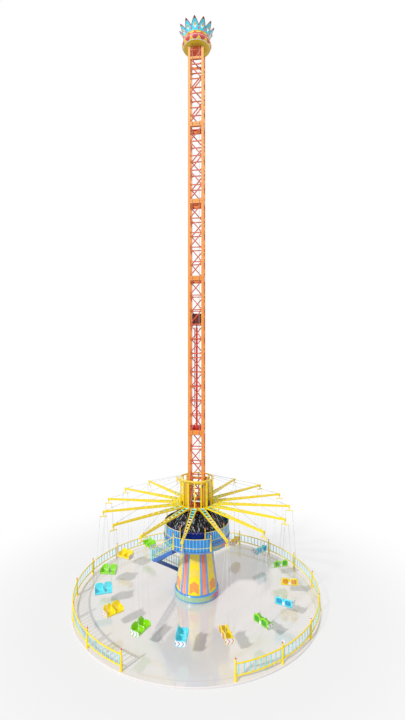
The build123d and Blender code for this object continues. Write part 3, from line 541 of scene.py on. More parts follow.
# each seat colour has chevrons of one tone on its sides and pads of another on its back
seatTones = {"cyan": (srgb(20, 120, 200), srgb(20, 150, 205)),
             "yellow": (srgb(226, 90, 30), srgb(222, 150, 20)),
             "green": (srgb(30, 150, 50), srgb(60, 170, 20))}
for tone, (side, pad) in seatTones.items():
    looks["side_" + tone] = paint("side" + tone.title(), None, 0.2, coat=0.6,
                                  pattern=partial(chevronStripes, side))
    looks["pad_" + tone] = paint("pad" + tone.title(), pad, 0.3, coat=0.4)
slotOfNode = {row["node"]: row["material_slot"] for row in frame["record"]["subparts"]}
for nodeName, item in frame["nodes"].items():
    item.data.materials.clear()
    item.data.materials.append(looks[slotOfNode[nodeName]])
print("stage: materials on", len(frame["nodes"]), "nodes")


# Fence

fence = {"radius": 4.420, "postRadius": 0.022, "height": 0.632, "knobRadius": 0.024, "topRail": 0.465,
         "lowRail": 0.143, "railRadius": 0.0215, "slats": 9, "slatWidth": 0.030, "slatDepth": 0.010,
         "bays": 16, "gap": 42.2, "clear": 0.012}


# turned post: each row is (share of the radius, height) for foot plate, base ring, straight shaft and collar
def postPart(radius, height, knob, sides=10):
    h = height - knob
    profile = [(2.1, 0.0), (2.1, 0.008), (1.5, 0.014), (1.35, 0.05), (1, 0.06), (1, h - 0.075),
               (1.4, h - 0.068), (1.4, h - 0.052), (1, h - 0.045), (0.9, h - 0.012)]
    points, polys = lathe(np.array(profile) * (radius, 1), sides)
    starts = np.arange(sides) * len(profile)
    return points, [polys[0], (starts + len(profile) - 1)[None], starts[::-1][None]]


# ball: r = R sin t, z = -R cos t, joined to the post below it
def knobPart(knob, height, sides=12):
    t = np.linspace(0.35, pi, 8)[:-1]
    points, k = lathe(np.stack([knob * np.sin(t), height - knob - knob * np.cos(t)], -1), sides)[0], len(t)
    rings = gridFaces(sides, k, True, False)
    top = np.array([[0.0, 0.0, height]])
    i = np.arange(sides)
    cap = np.stack([i * k + k - 1, ((i + 1) % sides) * k + k - 1, np.full(sides, sides * k)], -1)
    return np.concatenate([points, top]), [rings, cap, (np.arange(sides) * k)[::-1][None]]


# the post and its ball are built once at the front and turned to every angle
def postRing(name, radius, angles, floor, size, height, knob, nodes):
    spot = moved(postPart(size, height, knob), 0, -radius, floor)
    ball = moved(knobPart(knob, height), 0, -radius, floor)
    piece(name + "Posts", [aroundZ(spot, angles)], "ride_yellow", replaced=nodes)
    piece(name + "Knobs", [aroundZ(ball, angles)], "knobRed")


# one rail on an arc from start to end at each height
def railBay(radius, start, end, heights, size, steps=10):
    return [tube(arcPath(radius, start, end, z, steps), size, 8) for z in heights]


# flat bars from low to high at each angle, with their thickness pointing outwards
def slatRow(radius, angles, low, high, width, depth):
    a, b = onCircle(radius, angles, low), onCircle(radius, angles, high)
    return bars(a, b, width, depth, onCircle(1.0, angles))


fencePitch = radians(360 - fence["gap"]) / fence["bays"]
fenceAngles = radians(fence["gap"] / 2) + fencePitch * np.arange(fence["bays"] + 1)
postRing("fence", fence["radius"], fenceAngles, deckTop, fence["postRadius"], fence["height"],
         fence["knobRadius"], nodes=["fence_posts"])
railParts, slatParts = [], []
for first in fenceAngles[:-1]:
    clear = fence["clear"] / fence["radius"]
    railParts += railBay(fence["radius"], first + clear, first + fencePitch - clear,
                         (deckTop + fence["lowRail"], deckTop + fence["topRail"]), fence["railRadius"])
    steps = (np.arange(fence["slats"]) + 0.5) / fence["slats"]
    slatParts.append(slatRow(fence["radius"], first + fencePitch * steps, deckTop + fence["lowRail"] + 0.008,
                             deckTop + fence["topRail"] - 0.008, fence["slatWidth"], fence["slatDepth"]))
piece("fenceRails", railParts, "ride_yellow", replaced=["fence_right", "fence_left"])
piece("fenceSlats", slatParts, "slatCyan", bevel=0.002)
print("stage: fence")


# Arms, stays and cage

arms = {"root": 0.6253, "rootHalf": 0.107, "chord": 0.028, "bottom": 3.370, "top": 3.430,
        "blockStart": 3.160, "reach": 3.420, "blockHalf": 0.035, "rungs": 11, "rungWidth": 0.026,
        "rungDepth": 0.040, "lugRadius": 3.270, "pivotRadius": 3.400, "pivotLevel": 3.345}
armAngles = evenTurn(armCount)


# an outline that stays as it is: u, v and w are x, y and z
def level(u, v, w):
    return u, v, w


# one arm along -Y: two chords that close in on the end block, a lug for the stay, two cheeks for the pin
def armFrame():
    a, parts = arms, []
    chord = np.array([
        (a["rootHalf"], -a["root"]), (a["blockHalf"], -a["blockStart"]), (a["blockHalf"], -a["reach"]),
        (0.001, -a["reach"]), (0.001, -a["blockStart"] - 0.02), (0.006, -a["blockStart"] + 0.05),
        (a["rootHalf"] - a["chord"], -a["root"])])
    for side in (-1, 1):
        parts.append(plate(chord[::-side] * (side, 1), a["bottom"], a["top"], level))
    parts.append(bars([[0, -a["root"], 3.4]], [[0, -a["root"] - 0.03, 3.4]], 0.15, 0.03))
    lug = [(-0.045, 0.0), (0.045, 0.0), (0.020, 0.034), (0.012, 0.042), (-0.012, 0.042), (-0.020, 0.034)]
    parts.append(plate(lug, -0.007, 0.007, lambda u, v, w: (w, -a["lugRadius"] - 0.005 + u, a["top"] + v)))
    cheek = [(-0.020, -0.040), (-0.010, -0.048), (0.010, -0.048), (0.020, -0.040), (0.030, 0.002),
             (-0.030, 0.002)]
    for side in (-1, 1):
        parts.append(plate(cheek, side * 0.0125, side * 0.0225,
                           lambda u, v, w: (w, -a["pivotRadius"] + u, a["bottom"] + v)))
    low, high = [0, -a["reach"] + 0.002, a["bottom"] - 0.004], [0, -a["reach"] + 0.002, a["top"] + 0.012]
    parts.append(bars([low], [high], 0.084, 0.010, (0, 1, 0)))
    return joined(parts)


# rungs sit between the chords where they are still apart: half width falls off in line with the radius
def armRungs(first, last):
    a = arms
    span = a["blockStart"] - a["root"]
    at = a["root"] + 0.10 + (span - 0.22) * np.arange(a["rungs"])[first:last] / (a["rungs"] - 1)
    half = a["rootHalf"] + (a["blockHalf"] - a["rootHalf"]) * (at - a["root"]) / span - 0.010
    middle = (a["bottom"] + a["top"]) / 2
    ends = np.stack([half, -at, np.full_like(at, middle)], -1)
    return bars(ends * (-1, 1, 1), ends, a["rungWidth"], a["rungDepth"])


piece("armFrames", [aroundZ(armFrame(), armAngles)], "ride_yellow", body="rotor", replaced=["arms"],
      bevel=0.003)
piece("armRungsInner", [aroundZ(armRungs(0, 4), armAngles)], "slatCyan", "rotor", bevel=0.002)
piece("armRungsOuter", [aroundZ(armRungs(4, 11), armAngles)], "white", "rotor", bevel=0.002)


stays = {"top": (0, -0.627, 4.335), "low": (0, -3.266, 3.462)}


# a stay is a straight wire whose radius changes at shares of its length, for two eyes and a tensioner
def stay():
    top, low = np.array(stays["top"]), np.array(stays["low"])
    share = np.array([0, 0.003, 0.012, 0.014, 0.90, 0.902, 0.955, 0.957, 0.986, 0.988, 1.0])
    size = np.array([0.009, 0.010, 0.010, 0.0042, 0.0042, 0.008, 0.008, 0.0042, 0.0042, 0.009, 0.008])
    return tube(top + (low - top) * share[:, None], size, 6)


piece("stayWires", [aroundZ(stay(), armAngles)], "stay_steel", body="rotor", replaced=["stays"])

cage = {"radius": 0.625, "bottom": 3.3505, "top": 4.3675, "bolts": 64, "boltInset": 0.020,
        "boltRadius": 0.009, "boltHeight": 0.007, "lampRing": 0.665, "lampLevel": 3.362,
        "collar": [(0.625, 3.352), (0.690, 3.352), (0.690, 3.362), (0.625, 3.362)]}
boltAngles = np.linspace(0, 2 * pi, cage["bolts"], endpoint=False)
boltRings = [studs(onCircle(cage["radius"], boltAngles, z), onCircle(1.0, boltAngles),
                   cage["boltRadius"], cage["boltHeight"], 6, 1)
             for z in (cage["bottom"] + cage["boltInset"], cage["top"] - cage["boltInset"])]
piece("cageBolts", boltRings, "chainSteel", "rotor")
hubSpots = onCircle(cage["lampRing"], armAngles + armPitch / 2, cage["lampLevel"])
piece("hubCollar", [lathe(cage["collar"], 64)], "ride_yellow", body="rotor")
piece("hubLamps", [studs(hubSpots, [[0, 0, 1]], 0.02, 0.016, 8, 2)], "sectionLamp", "rotor")
print("stage: arms and cage")


# Seats: shell, side panels, hanger and chains

seat = {"width": 0.586, "height": 0.315, "low": 0.548, "columns": 33}
pivot = arms["pivotRadius"]


# the shell is a grid: across the width u, round the section v. Near is 0 in the middle of a bucket and 1 at
# a wall; the ridge 3 k^2 - 2 k^3 of it mixes the outlines of bucket and wall, and sqrt(1 - k^2) rounds the
# two lobes on top
def seatShell():
    s = seat
    rear = [(-0.146, 0.308), (-0.158, 0.300), (-0.165, 0.240), (-0.163, 0.130), (-0.150, 0.040),
            (-0.110, 0.000)]
    bucket = np.array([
        (0.105, 0.000), (0.150, 0.030), (0.163, 0.075), (0.150, 0.098), (0.105, 0.092), (0.030, 0.062),
        (-0.050, 0.058), (-0.098, 0.092), (-0.118, 0.150), (-0.128, 0.220), (-0.136, 0.285)] + rear)
    wall = np.array([
        (0.105, 0.000), (0.152, 0.030), (0.165, 0.090), (0.155, 0.150), (0.120, 0.188), (0.060, 0.200),
        (-0.010, 0.196), (-0.062, 0.200), (-0.092, 0.228), (-0.112, 0.262), (-0.130, 0.292)] + rear)
    u = np.linspace(-1, 1, s["columns"])
    near = np.abs(np.abs(u) - 0.5) * 2
    ridge = np.clip((near - 0.78) / 0.16, 0, 1)
    ridge = (ridge * ridge * (3 - 2 * ridge))[:, None, None]
    section = bucket[None] * (1 - ridge) + wall[None] * ridge
    lobe = np.sqrt(1 - np.clip((near - 0.3) / 0.7, 0, 1) ** 2)
    top = 0.200 + (s["height"] - 0.200) * lobe
    x, z = section[..., 0], section[..., 1]
    behind = np.clip((0.02 - x) / 0.12, 0, 1)
    stretch = (top[:, None] - 0.17) / (s["height"] - 0.17) - 1
    z = np.where(z > 0.17, 0.17 + (z - 0.17) * (1 + behind * stretch), z)
    dish = 0.010 * np.cos(np.clip(near, 0, 1) * pi / 2)[:, None]
    front = (x > 0.10) & (z < 0.12)
    x = np.where(front, x + dish * 0.4, x)
    y = np.broadcast_to((u * s["width"] / 2)[:, None], x.shape)
    points = np.stack([x, y, z + s["low"]], -1)
    rows, cols = x.shape
    faces = [gridFaces(rows, cols, False, True)[:, ::-1], np.arange(cols)[::-1][None],
             (rows - 1) * cols + np.arange(cols)[None]]
    return moved((points.reshape(-1, 3), [f[:, ::-1] for f in faces]), 0, -pivot, 0)


# a side panel is the seat's outline seen from the side, 4 mm proud of the shell, with a hand rail on it
def seatSides():
    s = seat
    outline = np.array([
        (-0.105, 0.012), (0.100, 0.012), (0.145, 0.040), (0.156, 0.085), (0.146, 0.132), (0.112, 0.154),
        (-0.010, 0.162), (-0.070, 0.176), (-0.112, 0.206), (-0.150, 0.206), (-0.154, 0.120),
        (-0.142, 0.045)])
    parts, marks = [], []
    for side in (-1, 1):
        y0, y1 = side * (s["width"] / 2 - 0.002), side * (s["width"] / 2 + 0.004)
        shape = outline[::-side]
        parts.append(plate(shape, y0, y1, lambda u, v, w: (u, w - pivot, v + s["low"])))
        marks.append(np.concatenate([shape, shape]))
    return joined(parts), np.concatenate(marks)


# rail along each side under the chains, on five points of which the two at the ends lie 13 mm lower
def seatRails():
    x = np.array([-0.160, -0.150, 0.0, 0.150, 0.160])
    z = seat["low"] + np.array([0.150, 0.163, 0.163, 0.163, 0.150])
    parts = []
    for side in (-1, 1):
        y = side * (seat["width"] / 2 + 0.006) - pivot
        parts.append(tube(np.stack([x, np.full(len(x), y), z], -1), 0.0075, 8))
    return joined(parts)


# two-colour panels on the rear of the lobes: outline (|cos t|^0.6, |sin t|^0.6), each with its sign
def seatPads():
    t = np.linspace(0, 2 * pi, 17)[:-1]
    circle = np.stack([np.cos(t), np.sin(t)], -1)
    squircle = np.sign(circle) * np.abs(circle) ** 0.6 * (0.098, 0.080)
    parts = []
    for side in (-1, 1):
        middle = side * seat["width"] / 4
        parts.append(plate(squircle, -0.1675, -0.160,
                           lambda u, v, w, m=middle: (w, u + m - pivot, v + 0.180 + seat["low"])))
    return joined(parts)


# white six-sided panel low down between the two pads of the back
def seatPanel():
    outline = [(-0.034, -0.05), (0.034, -0.05), (0.040, 0.0), (0.030, 0.055), (-0.030, 0.055), (-0.040, 0.0)]
    return plate(outline, -0.1672, -0.160, lambda u, v, w: (w, u - pivot, v + 0.118 + seat["low"]))


# oval link: centre line of two half circles and two straights, cut to eight points, with a four-sided wire
def linkPart(length, width, wire):
    t = np.linspace(0, 2 * pi, 9)[:-1] + pi / 8
    x, z = np.cos(t) * width / 2, np.sin(t) * width / 2 + np.sign(np.sin(t)) * (length - width) / 2
    return tube(np.stack([x, np.zeros(8), z], -1), wire, 4, True, (0, 1, 0))


# links along a straight run: every other one is turned by a quarter; all of them by arrays
def chainRun(start, end, pitch=0.034, width=0.013, wire=0.0019):
    start, end = np.array(start), np.array(end)
    length = np.linalg.norm(end - start)
    count = int(round(length / pitch))
    pitch = length / count
    along = (end - start) / length
    side = np.cross(along, [0, 1.0, 0])
    side /= np.linalg.norm(side)
    over = np.cross(side, along)
    points, polys = linkPart(pitch + 2 * wire + 0.004, width, wire)
    middle = start + along * (np.arange(count)[:, None] + 0.5) * pitch
    even = (np.arange(count) % 2 == 0)[:, None, None]
    across = np.where(even, side, over)
    through = np.where(even, over, -side)
    x, y, z = points[None, :, 0:1], points[None, :, 1:2], points[None, :, 2:3]
    many = middle[:, None] + x * across + y * through + z * along
    return many.reshape(-1, 3), repeated(polys, count, len(points))


# four chains, each from a corner of the seat's rails up to its end of the crossbar
def seatChains():
    parts = []
    for x, y in ((1, 1), (-1, 1), (-1, -1), (1, -1)):
        low = (x * 0.152, -pivot + y * 0.299, seat["low"] + 0.176)
        high = (x * 0.010, -pivot + y * 0.1145, 3.2290)
        parts.append(chainRun(low, high))
    return joined(parts)


# hanger: forged link with rounded head on the pivot pin, and the crossbar with two ears at each end
def seatHanger():
    r, z = pivot, arms["pivotLevel"]
    t = np.linspace(-pi / 2, pi / 2, 7)
    head = np.concatenate([np.stack([np.sin(t), np.cos(t)], -1) * 0.012,
                           [(0.010, -0.100), (-0.010, -0.100)]])
    parts = [plate(head, -0.011, 0.011, lambda u, v, w: (w, u - r, v + z))]
    parts.append(bars([[0, -r - 0.1235, z - 0.105]], [[0, -r + 0.1235, z - 0.105]], 0.024, 0.024))
    parts.append(tube([[-0.030, -r, z], [-0.028, -r, z], [0.028, -r, z], [0.030, -r, z]],
                      [0.005, 0.008, 0.008, 0.005], 8))
    for side in (-1, 1):
        for fore in (-1, 1):
            spot = np.array([fore * 0.010, -r + side * 0.1145, z - 0.120])
            parts.append(moved(linkPart(0.026, 0.018, 0.003), *spot))
        parts.append(bars([[0, -r + side * 0.122, z - 0.105]], [[0, -r + side * 0.128, z - 0.105]],
                          0.034, 0.034))
    return joined(parts)


shellPart, (sidePart, sideMarks), railPart, padPart = seatShell(), seatSides(), seatRails(), seatPads()
chainPart, hangerPart, panelPart = seatChains(), seatHanger(), seatPanel()
seatColors = ("cyan yellow green " * 3 + "cyan green yellow green cyan yellow green").split()
for index, tone in enumerate(seatColors):
    label, turn = f"{index + 1:02d}", armAngles[index]
    body = "seat_" + label
    shell = piece("seatShell" + label, [aroundZ(shellPart, turn)], "seat_" + tone, body=body,
                  replaced=["swing_seat_" + label], angle=60)
    smoothing = shell.modifiers.new("smoothing", "SUBSURF")
    smoothing.levels = smoothing.render_levels = 1
    piece("seatSides" + label, [aroundZ(sidePart, turn)], "side_" + tone, body,
          uv=sideMarks, bevel=0.002)
    piece("seatRails" + label, [aroundZ(railPart, turn)], "chainSteel", body)
    piece("seatPads" + label, [aroundZ(padPart, turn)], "pad_" + tone, body, bevel=0.003)
    piece("seatPanel" + label, [aroundZ(panelPart, turn)], "white", body, bevel=0.002)
    piece("seatHanger" + label, [aroundZ(hangerPart, turn)], "ride_yellow", body=body)
    piece("seatChains" + label, [aroundZ(chainPart, turn)], "chainSteel", body)
print("stage: seats")


# Crown

crown = {"red": 20.364, "yellow": 20.543, "petals": 20.700, "top": 21.100, "soffitRadius": 0.494,
         "waist": 0.507, "foot": 0.477, "tip": 0.668, "thick": 0.012, "valley": 0.41, "count": 12}
crownAngles = evenTurn(crown["count"])


# bulging band: the radius follows a half sine between its two edges
def redRadius(share):
    edge = crown["soffitRadius"] + (crown["waist"] - crown["soffitRadius"]) * share
    return edge + 0.052 * np.sin(pi * share) ** 0.8


# the radius falls in line with the share and bulges by 8 mm of a half sine
def yellowRadius(share):
    return crown["waist"] + (crown["foot"] - crown["waist"]) * share + 0.008 * np.sin(pi * share)


# closed section: the outer radii by height, then straight back to a core of 0.30 m
def bandProfile(radiusAt, low, high, steps):
    share = np.linspace(0, 1, steps)
    outer = np.stack([radiusAt(share), low + (high - low) * share], -1)
    return np.concatenate([[[0.30, low]], outer, [[0.30, high]]])


# half angle of a triangle: 0.20 (1 - v / 0.74)^1.6, with v the height share
def triangleHalf(v):
    return 0.200 * np.clip(1 - v / 0.74, 0, 1) ** 1.6 + 0.001


# half angle of a garland: 0.225 sqrt(1 - ((1 - v) / 0.62)^2), with v the height share
def garlandHalf(v):
    return 0.225 * np.sqrt(np.clip(1 - ((1 - v) / 0.62) ** 2, 0, 1)) + 0.001


# a patch that follows its band: at each height share v its points run evenly from -half(v) to half(v)
def bandPatch(halfAt, radiusAt, low, high, middle, first, last, rows=9, cols=5):
    v = np.linspace(first, last, rows)[:, None]
    half = halfAt(v)
    u = -half + 2 * half * np.linspace(0, 1, cols)[None]
    inner, outer = [onCircle(radiusAt(v) + w, middle + u, low + (high - low) * v) for w in (-0.004, 0.005)]
    return sheet(inner, outer, rows, cols)


piece("crownRedBand", [lathe(bandProfile(redRadius, crown["red"], crown["yellow"], 13), 72)], "crown_red",
      replaced=["crown_red_band"])
piece("crownYellowBand", [lathe(bandProfile(yellowRadius, crown["yellow"], crown["petals"], 8), 72)],
      "bandCoral", replaced=["crown_yellow_band"])
for name, halfAt, radiusAt, low, high, first, last in (
        ("crownTriangles", triangleHalf, redRadius, "red", "yellow", 0.03, 0.74),
        ("crownGarlands", garlandHalf, yellowRadius, "yellow", "petals", 0.385, 0.98)):
    patches = [bandPatch(halfAt, radiusAt, crown[low], crown[high], a, first, last)
               for a in crownAngles + pi / 12]
    piece(name, patches, "crown_yellow", angle=50)


# bead: a full circle of round section
def bead(radius, z, size, steps=72):
    return tube(arcPath(radius, 0, 2 * pi, z, steps + 1)[:-1], size, 8, True)


piece("crownBeads", [bead(crown["soffitRadius"] + 0.002, crown["red"] - 0.002, 0.011),
                     bead(crown["waist"] + 0.004, crown["yellow"], 0.010)], "white")
piece("crownGoldRing", [bead(crown["foot"] + 0.006, crown["petals"] - 0.010, 0.014)], "goldRing")


# petal surface: height h from 0 to 1 leans out as R = foot + (tip - foot) h^1.6; the half width stays
# even up to the valley between two petals and then falls as (1 - share)^0.9 to the tip
def leafHalf(h):
    share = np.clip((h - crown["valley"]) / (1 - crown["valley"]), 0, 1)
    return 0.137 * (1 - share) ** 0.9


# a point of the leaning leaf: x runs round the foot, h is the height share, w goes outwards
def petalPoint(x, h, w):
    radius = crown["foot"] + 0.004 + (crown["tip"] - 0.012 - crown["foot"]) * np.clip(h, 0, 1) ** 1.6 + w
    turn = x / (crown["foot"] + 0.05)
    z = crown["petals"] + (crown["top"] - crown["petals"] - 0.002) * h
    return radius * np.sin(turn), -radius * np.cos(turn), z


# the leaf is a ring grid: from the opening's rhombus (k = 0) out to the leaf's edge (k = 1), which is the
# last of 400 points on each ray that is still inside the leaf
def petalParts():
    t = np.linspace(0, 2 * pi, 49)[:-1]
    centre, holeHalf, holeHigh = 0.405, 0.059, 0.225
    c, s = np.cos(t), np.sin(t)
    scale = 1 / (np.abs(c) + np.abs(s))
    holeX, holeH = c * scale * holeHalf, centre + s * scale * holeHigh
    reach = 1 + np.linspace(0, 4, 400)[None]
    rayX, rayH = holeX[:, None] * reach, centre + (holeH - centre)[:, None] * reach
    inside = (rayH > 0) & (rayH < 1) & (np.abs(rayX) <= leafHalf(np.clip(rayH, 0, 1)))
    last = np.clip(np.argmin(inside, 1) - 1, 0, None)[:, None]
    edgeX = np.take_along_axis(rayX, last, 1)[:, 0]
    edgeH = np.clip(np.take_along_axis(rayH, last, 1)[:, 0], 0, 1)
    k = np.array([0.0, 0.18, 0.5, 0.82, 1.0])[:, None]
    x, h = holeX + (edgeX - holeX) * k, holeH + (edgeH - holeH) * k
    body = [np.stack(petalPoint(x, h, w), -1).reshape(-1, 3) for w in (-crown["thick"], 0.0)]
    cols, rows = len(t), len(k)
    n = cols * rows
    front = gridFaces(rows, cols, False, True)
    i = np.arange(cols)
    j = (i + 1) % cols
    rim = (rows - 1) * cols
    rims = [np.stack([i, j, j + n, i + n], -1)[:, ::-1],
            np.stack([rim + i, rim + j, rim + j + n, rim + i + n], -1)]
    leaf = (np.concatenate(body), [front, front[:, ::-1] + n] + rims)
    inner = tube(np.stack(petalPoint(holeX, holeH, -crown["thick"] / 2), -1), 0.0065, 6, True, (0, -1, 0.01))
    return leaf, inner


# a tube along the leaf's outline, from one valley over the tip to the next, and the solid tip
def petalEdge():
    h = np.concatenate([np.linspace(crown["valley"], 0.985, 12), np.linspace(0.985, crown["valley"], 12)])
    x = leafHalf(h) * np.repeat([-1, 1], 12)
    edge = tube(np.stack(petalPoint(x, h, -crown["thick"] / 2), -1), 0.0125, 6, False, (0, -1, 0.01))
    tip = [(-leafHalf(0.84), 0.84), (leafHalf(0.84), 0.84), (0.004, 0.995), (-0.004, 0.995)]
    return joined([edge, plate(tip, -0.014, 0.004, petalPoint)])


# gem: rings of four corners (0.040 s cos t, 0.475 + 0.145 s sin t) at four sizes s and depths
def gemPart():
    t = np.linspace(0, 2 * pi, 5)[:-1]
    rings = []
    for size, w in ((0.15, -0.026), (1.0, -0.006), (0.55, 0.014), (0.15, 0.020)):
        rings.append(np.stack(petalPoint(np.cos(t) * 0.040 * size, 0.475 + np.sin(t) * 0.145 * size, w), -1))
    i = np.arange(4)
    return np.concatenate(rings), [gridFaces(4, 4, False, True), i[::-1][None], (12 + i)[None]]


# egg-shaped drop between two petals: (0.018 sin t (1 - 0.35 cos t), 0.21 + 0.125 cos t) on the leaf
def dropPart():
    t = np.linspace(0, 2 * pi, 13)[:-1]
    outline = np.stack([0.018 * np.sin(t) * (1 - 0.35 * np.cos(t)), 0.21 + 0.125 * np.cos(t)], -1)
    return plate(outline, -0.008, 0.012, petalPoint)


leafPart, innerPart = petalParts()
piece("crownPetals", [aroundZ(leafPart, crownAngles)], "petal_cyan", replaced=["crown_petals"], angle=50)
piece("crownPetalEdges", [aroundZ(petalEdge(), crownAngles)], "maroonEdge", angle=60)
piece("crownOpenings", [aroundZ(innerPart, crownAngles)], "white", angle=60)
piece("crownGems", [aroundZ(gemPart(), crownAngles)], "gem", smooth=False)
piece("crownDrops", [aroundZ(dropPart(), crownAngles + pi / 12)], "orangeLamp")
print("stage: crown")


# Tower: flange bands, bolts and the rows of lamps

tower = {"half": 0.290, "inner": 0.205, "plinth": 0.392, "section": 2.837, "plain": 3, "topBand": 19.850,
         "clearOfTrack": 0.220, "boltSpan": 0.200, "boltsInRow": 7, "lampRange": (2.42, 20.22),
         "lampPitch": 0.076, "lampRadius": 0.010, "lampHeight": 0.008, "boltRadius": 0.0065,
         "boltHeight": 0.005}
quarters = evenTurn(4)
joints = [tower["plinth"] + tower["section"] * i for i in range(1, 7)]
# each band's level and half height
bandLevels = [(z, 0.080) for number, z in enumerate(joints, 1) if number != tower["plain"]]
bandLevels.append((tower["topBand"], 0.042))


# two proud plates with a thin seam between them on every face; they end short of the tracks of the rollers
def flangeLips():
    parts, outer = [], tower["clearOfTrack"]
    for z, half in bandLevels:
        for low, high in ((-half, -0.002), (0.002, half)):
            middle = z + (low + high) / 2
            left, right = [-outer, -tower["half"] - 0.001, middle], [outer, -tower["half"] - 0.001, middle]
            parts.append(bars([left], [right], 0.010, high - low))
    return joined(parts)


# two rows on each band at 0.6 of its half height, with the bolts at even steps along x
def flangeBolts():
    x = np.linspace(-tower["boltSpan"], tower["boltSpan"], tower["boltsInRow"])
    z = np.array([at + half * share for at, half in bandLevels for share in (-0.6, 0.6)])
    depth = np.full(len(x) * len(z), -tower["half"] - 0.006)
    spots = np.stack([np.tile(x, len(z)), depth, np.repeat(z, len(x))], -1)
    return studs(spots, [[0, -1, 0]], tower["boltRadius"], tower["boltHeight"], 6, 1)


piece("flangeLips", [aroundZ(flangeLips(), quarters)], "tower_orange", bevel=0.002)
piece("flangeBolts", [aroundZ(flangeBolts(), quarters)], "band_orange", smooth=False)
seam = np.array([[tower["half"] + 0.0002, tower["half"] - 0.0425]])
seamParts = [bars(np.c_[-seam, z], np.c_[-seam + (0.0854, 0), z], 0.0854, 0.010) for z in joints]
piece("legSeams", [aroundZ(joined(seamParts), quarters)], "brace_orange")


# thin pipe beside the ram, with a knob at its foot
pipe = tube([(-0.075, 0, z) for z in (7.02, 7.05, 8.5, 9.95)], 0.018, 12, up=(0, 1, 0))
piece("ramPipe", [pipe], "pipePink")
piece("ramPipeKnob", [lathe([(0.022, 6.99), (0.030, 7.01), (0.022, 7.03)], 12)], "knobRed")


# lamps at even steps up beside each leg's inner edge, left out within 0.1 m of a flange band
def lampColumn():
    z = np.arange(*tower["lampRange"], tower["lampPitch"])
    z = z[np.min(np.abs(z[:, None] - np.array([at for at, half in bandLevels])), 1) > 0.1]
    x = tower["inner"] + 0.007
    y = np.full_like(z, -tower["half"])
    spots = np.concatenate([np.stack([np.full_like(z, side * x), y, z], -1) for side in (-1, 1)])
    return studs(spots, [[0, -1, 0]], tower["lampRadius"], tower["lampHeight"], 6, 1)


piece("towerLamps", [aroundZ(lampColumn(), quarters[::2])], "sectionLamp")


# gusset plates where the lattice's level bars meet the legs: z = plinth + section s + 0.080 + bay k
def gussetPlates():
    bay = (tower["section"] - 0.160) / 5
    z = np.concatenate([tower["plinth"] + tower["section"] * s + 0.080 + bay * np.arange(6)
                        for s in range(len(joints) + 1)])
    parts = []
    for side in (-1, 1):
        shape = np.array([(0.0, -0.050), (0.0, 0.050), (-0.050, 0.020), (-0.050, -0.020)]) * (side, 1)
        one = plate(shape if side > 0 else shape[::-1], -tower["half"] + 0.0262, -tower["half"] + 0.0205,
                    lambda u, v, w, s=side: (s * tower["inner"] + u, w, v))
        points = (one[0][None] + np.stack([z * 0, z * 0, z], -1)[:, None]).reshape(-1, 3)
        parts.append((points, repeated(one[1], len(z), len(one[0]))))
    return joined(parts)


piece("latticeGussets", [aroundZ(gussetPlates(), quarters)], "brace_orange", smooth=False)
print("stage: tower")


# Skirt round the foot

skirt = {"bandTop": 0.336, "footRadius": 0.762, "topRadius": 0.518, "top": 2.281, "rows": 5, "columns": 7,
         "columnPitch": 0.048, "rowPitch": 0.055, "slope": 0.70, "plateHalf": 0.165,
         "lampHeight": 0.009, "whiteRadius": 0.013, "orangeRadius": 0.0185,
         "bandSection": [(0.770, 0.062), (0.806, 0.062), (0.810, 0.110), (0.8135, 0.112), (0.8135, 0.285),
                         (0.806, 0.300), (0.770, 0.324), (0.750, 0.330)],
         "rimSection": [(0.760, 0.290), (0.8150, 0.290), (0.8165, 0.302), (0.806, 0.318), (0.775, 0.330),
                        (0.760, 0.330)],
         "topSection": [(0.500, 2.255), (0.528, 2.255), (0.534, 2.281), (0.500, 2.281)]}


# height of a share that is counted from the cone's top down to its foot
def coneLevel(share):
    return skirt["top"] - (skirt["top"] - skirt["bandTop"]) * share


# the cone's radius falls in line with the height
def coneRadius(z):
    share = (z - skirt["bandTop"]) / (skirt["top"] - skirt["bandTop"])
    return skirt["footRadius"] + (skirt["topRadius"] - skirt["footRadius"]) * share


# lamps in stacked chevrons on the cone: row i, column j at height top - i * pitch - slope * |x|
def chevronLamps(topShare, rows, columns, middle, lampRadius):
    s = skirt
    j = np.arange(columns) - (columns - 1) / 2
    x, drop = np.meshgrid(j * s["columnPitch"], np.arange(rows) * s["rowPitch"])
    z = coneLevel(topShare) - drop - s["slope"] * np.abs(x)
    radius = coneRadius(z)
    angle = middle + x / radius
    lean = (s["footRadius"] - s["topRadius"]) / (s["top"] - s["bandTop"])
    normal = onCircle(1.0, angle) + np.array([0, 0, lean])
    return studs(onCircle(radius, angle, z).reshape(-1, 3), normal.reshape(-1, 3), lampRadius,
                 s["lampHeight"], 6, 1)


panelAngles = evenTurn(6)
whiteShares = (0.0828, 0.309, 0.5327)
whiteGroups = [chevronLamps(share, skirt["rows"], skirt["columns"], a, skirt["whiteRadius"])
               for share in whiteShares for a in panelAngles]
orangeGroups = [chevronLamps(0.7666, skirt["rows"] + 1, skirt["columns"], a, skirt["orangeRadius"])
                for a in panelAngles]
piece("skirtLampsWhite", whiteGroups, "whiteLamp")
piece("skirtLampsOrange", orangeGroups, "orangeLamp")


# darker chevron plates behind the lamps, 2 mm proud of the cone: height top - slope * |x|, in three rows
def chevronPlate(topShare, depth, middle, columns=13):
    x = np.linspace(-skirt["plateHalf"], skirt["plateHalf"], columns)
    top = coneLevel(topShare) - skirt["slope"] * np.abs(x)
    z = np.stack([top + 0.022, top + 0.022 - depth * 0.5, top - depth])
    radius = coneRadius(z) + 0.0018
    outer = onCircle(radius, middle + x / radius, z)
    return sheet(outer * (0.994, 0.994, 1), outer, len(z), columns, True)


piece("skirtChevrons", [chevronPlate(0.7666, 0.305, a) for a in panelAngles], "chevronOrange",
      smooth=False)
piece("skirtShades", [chevronPlate(t, 0.255, a) for a in panelAngles for t in whiteShares], "chevronGold",
      smooth=False)


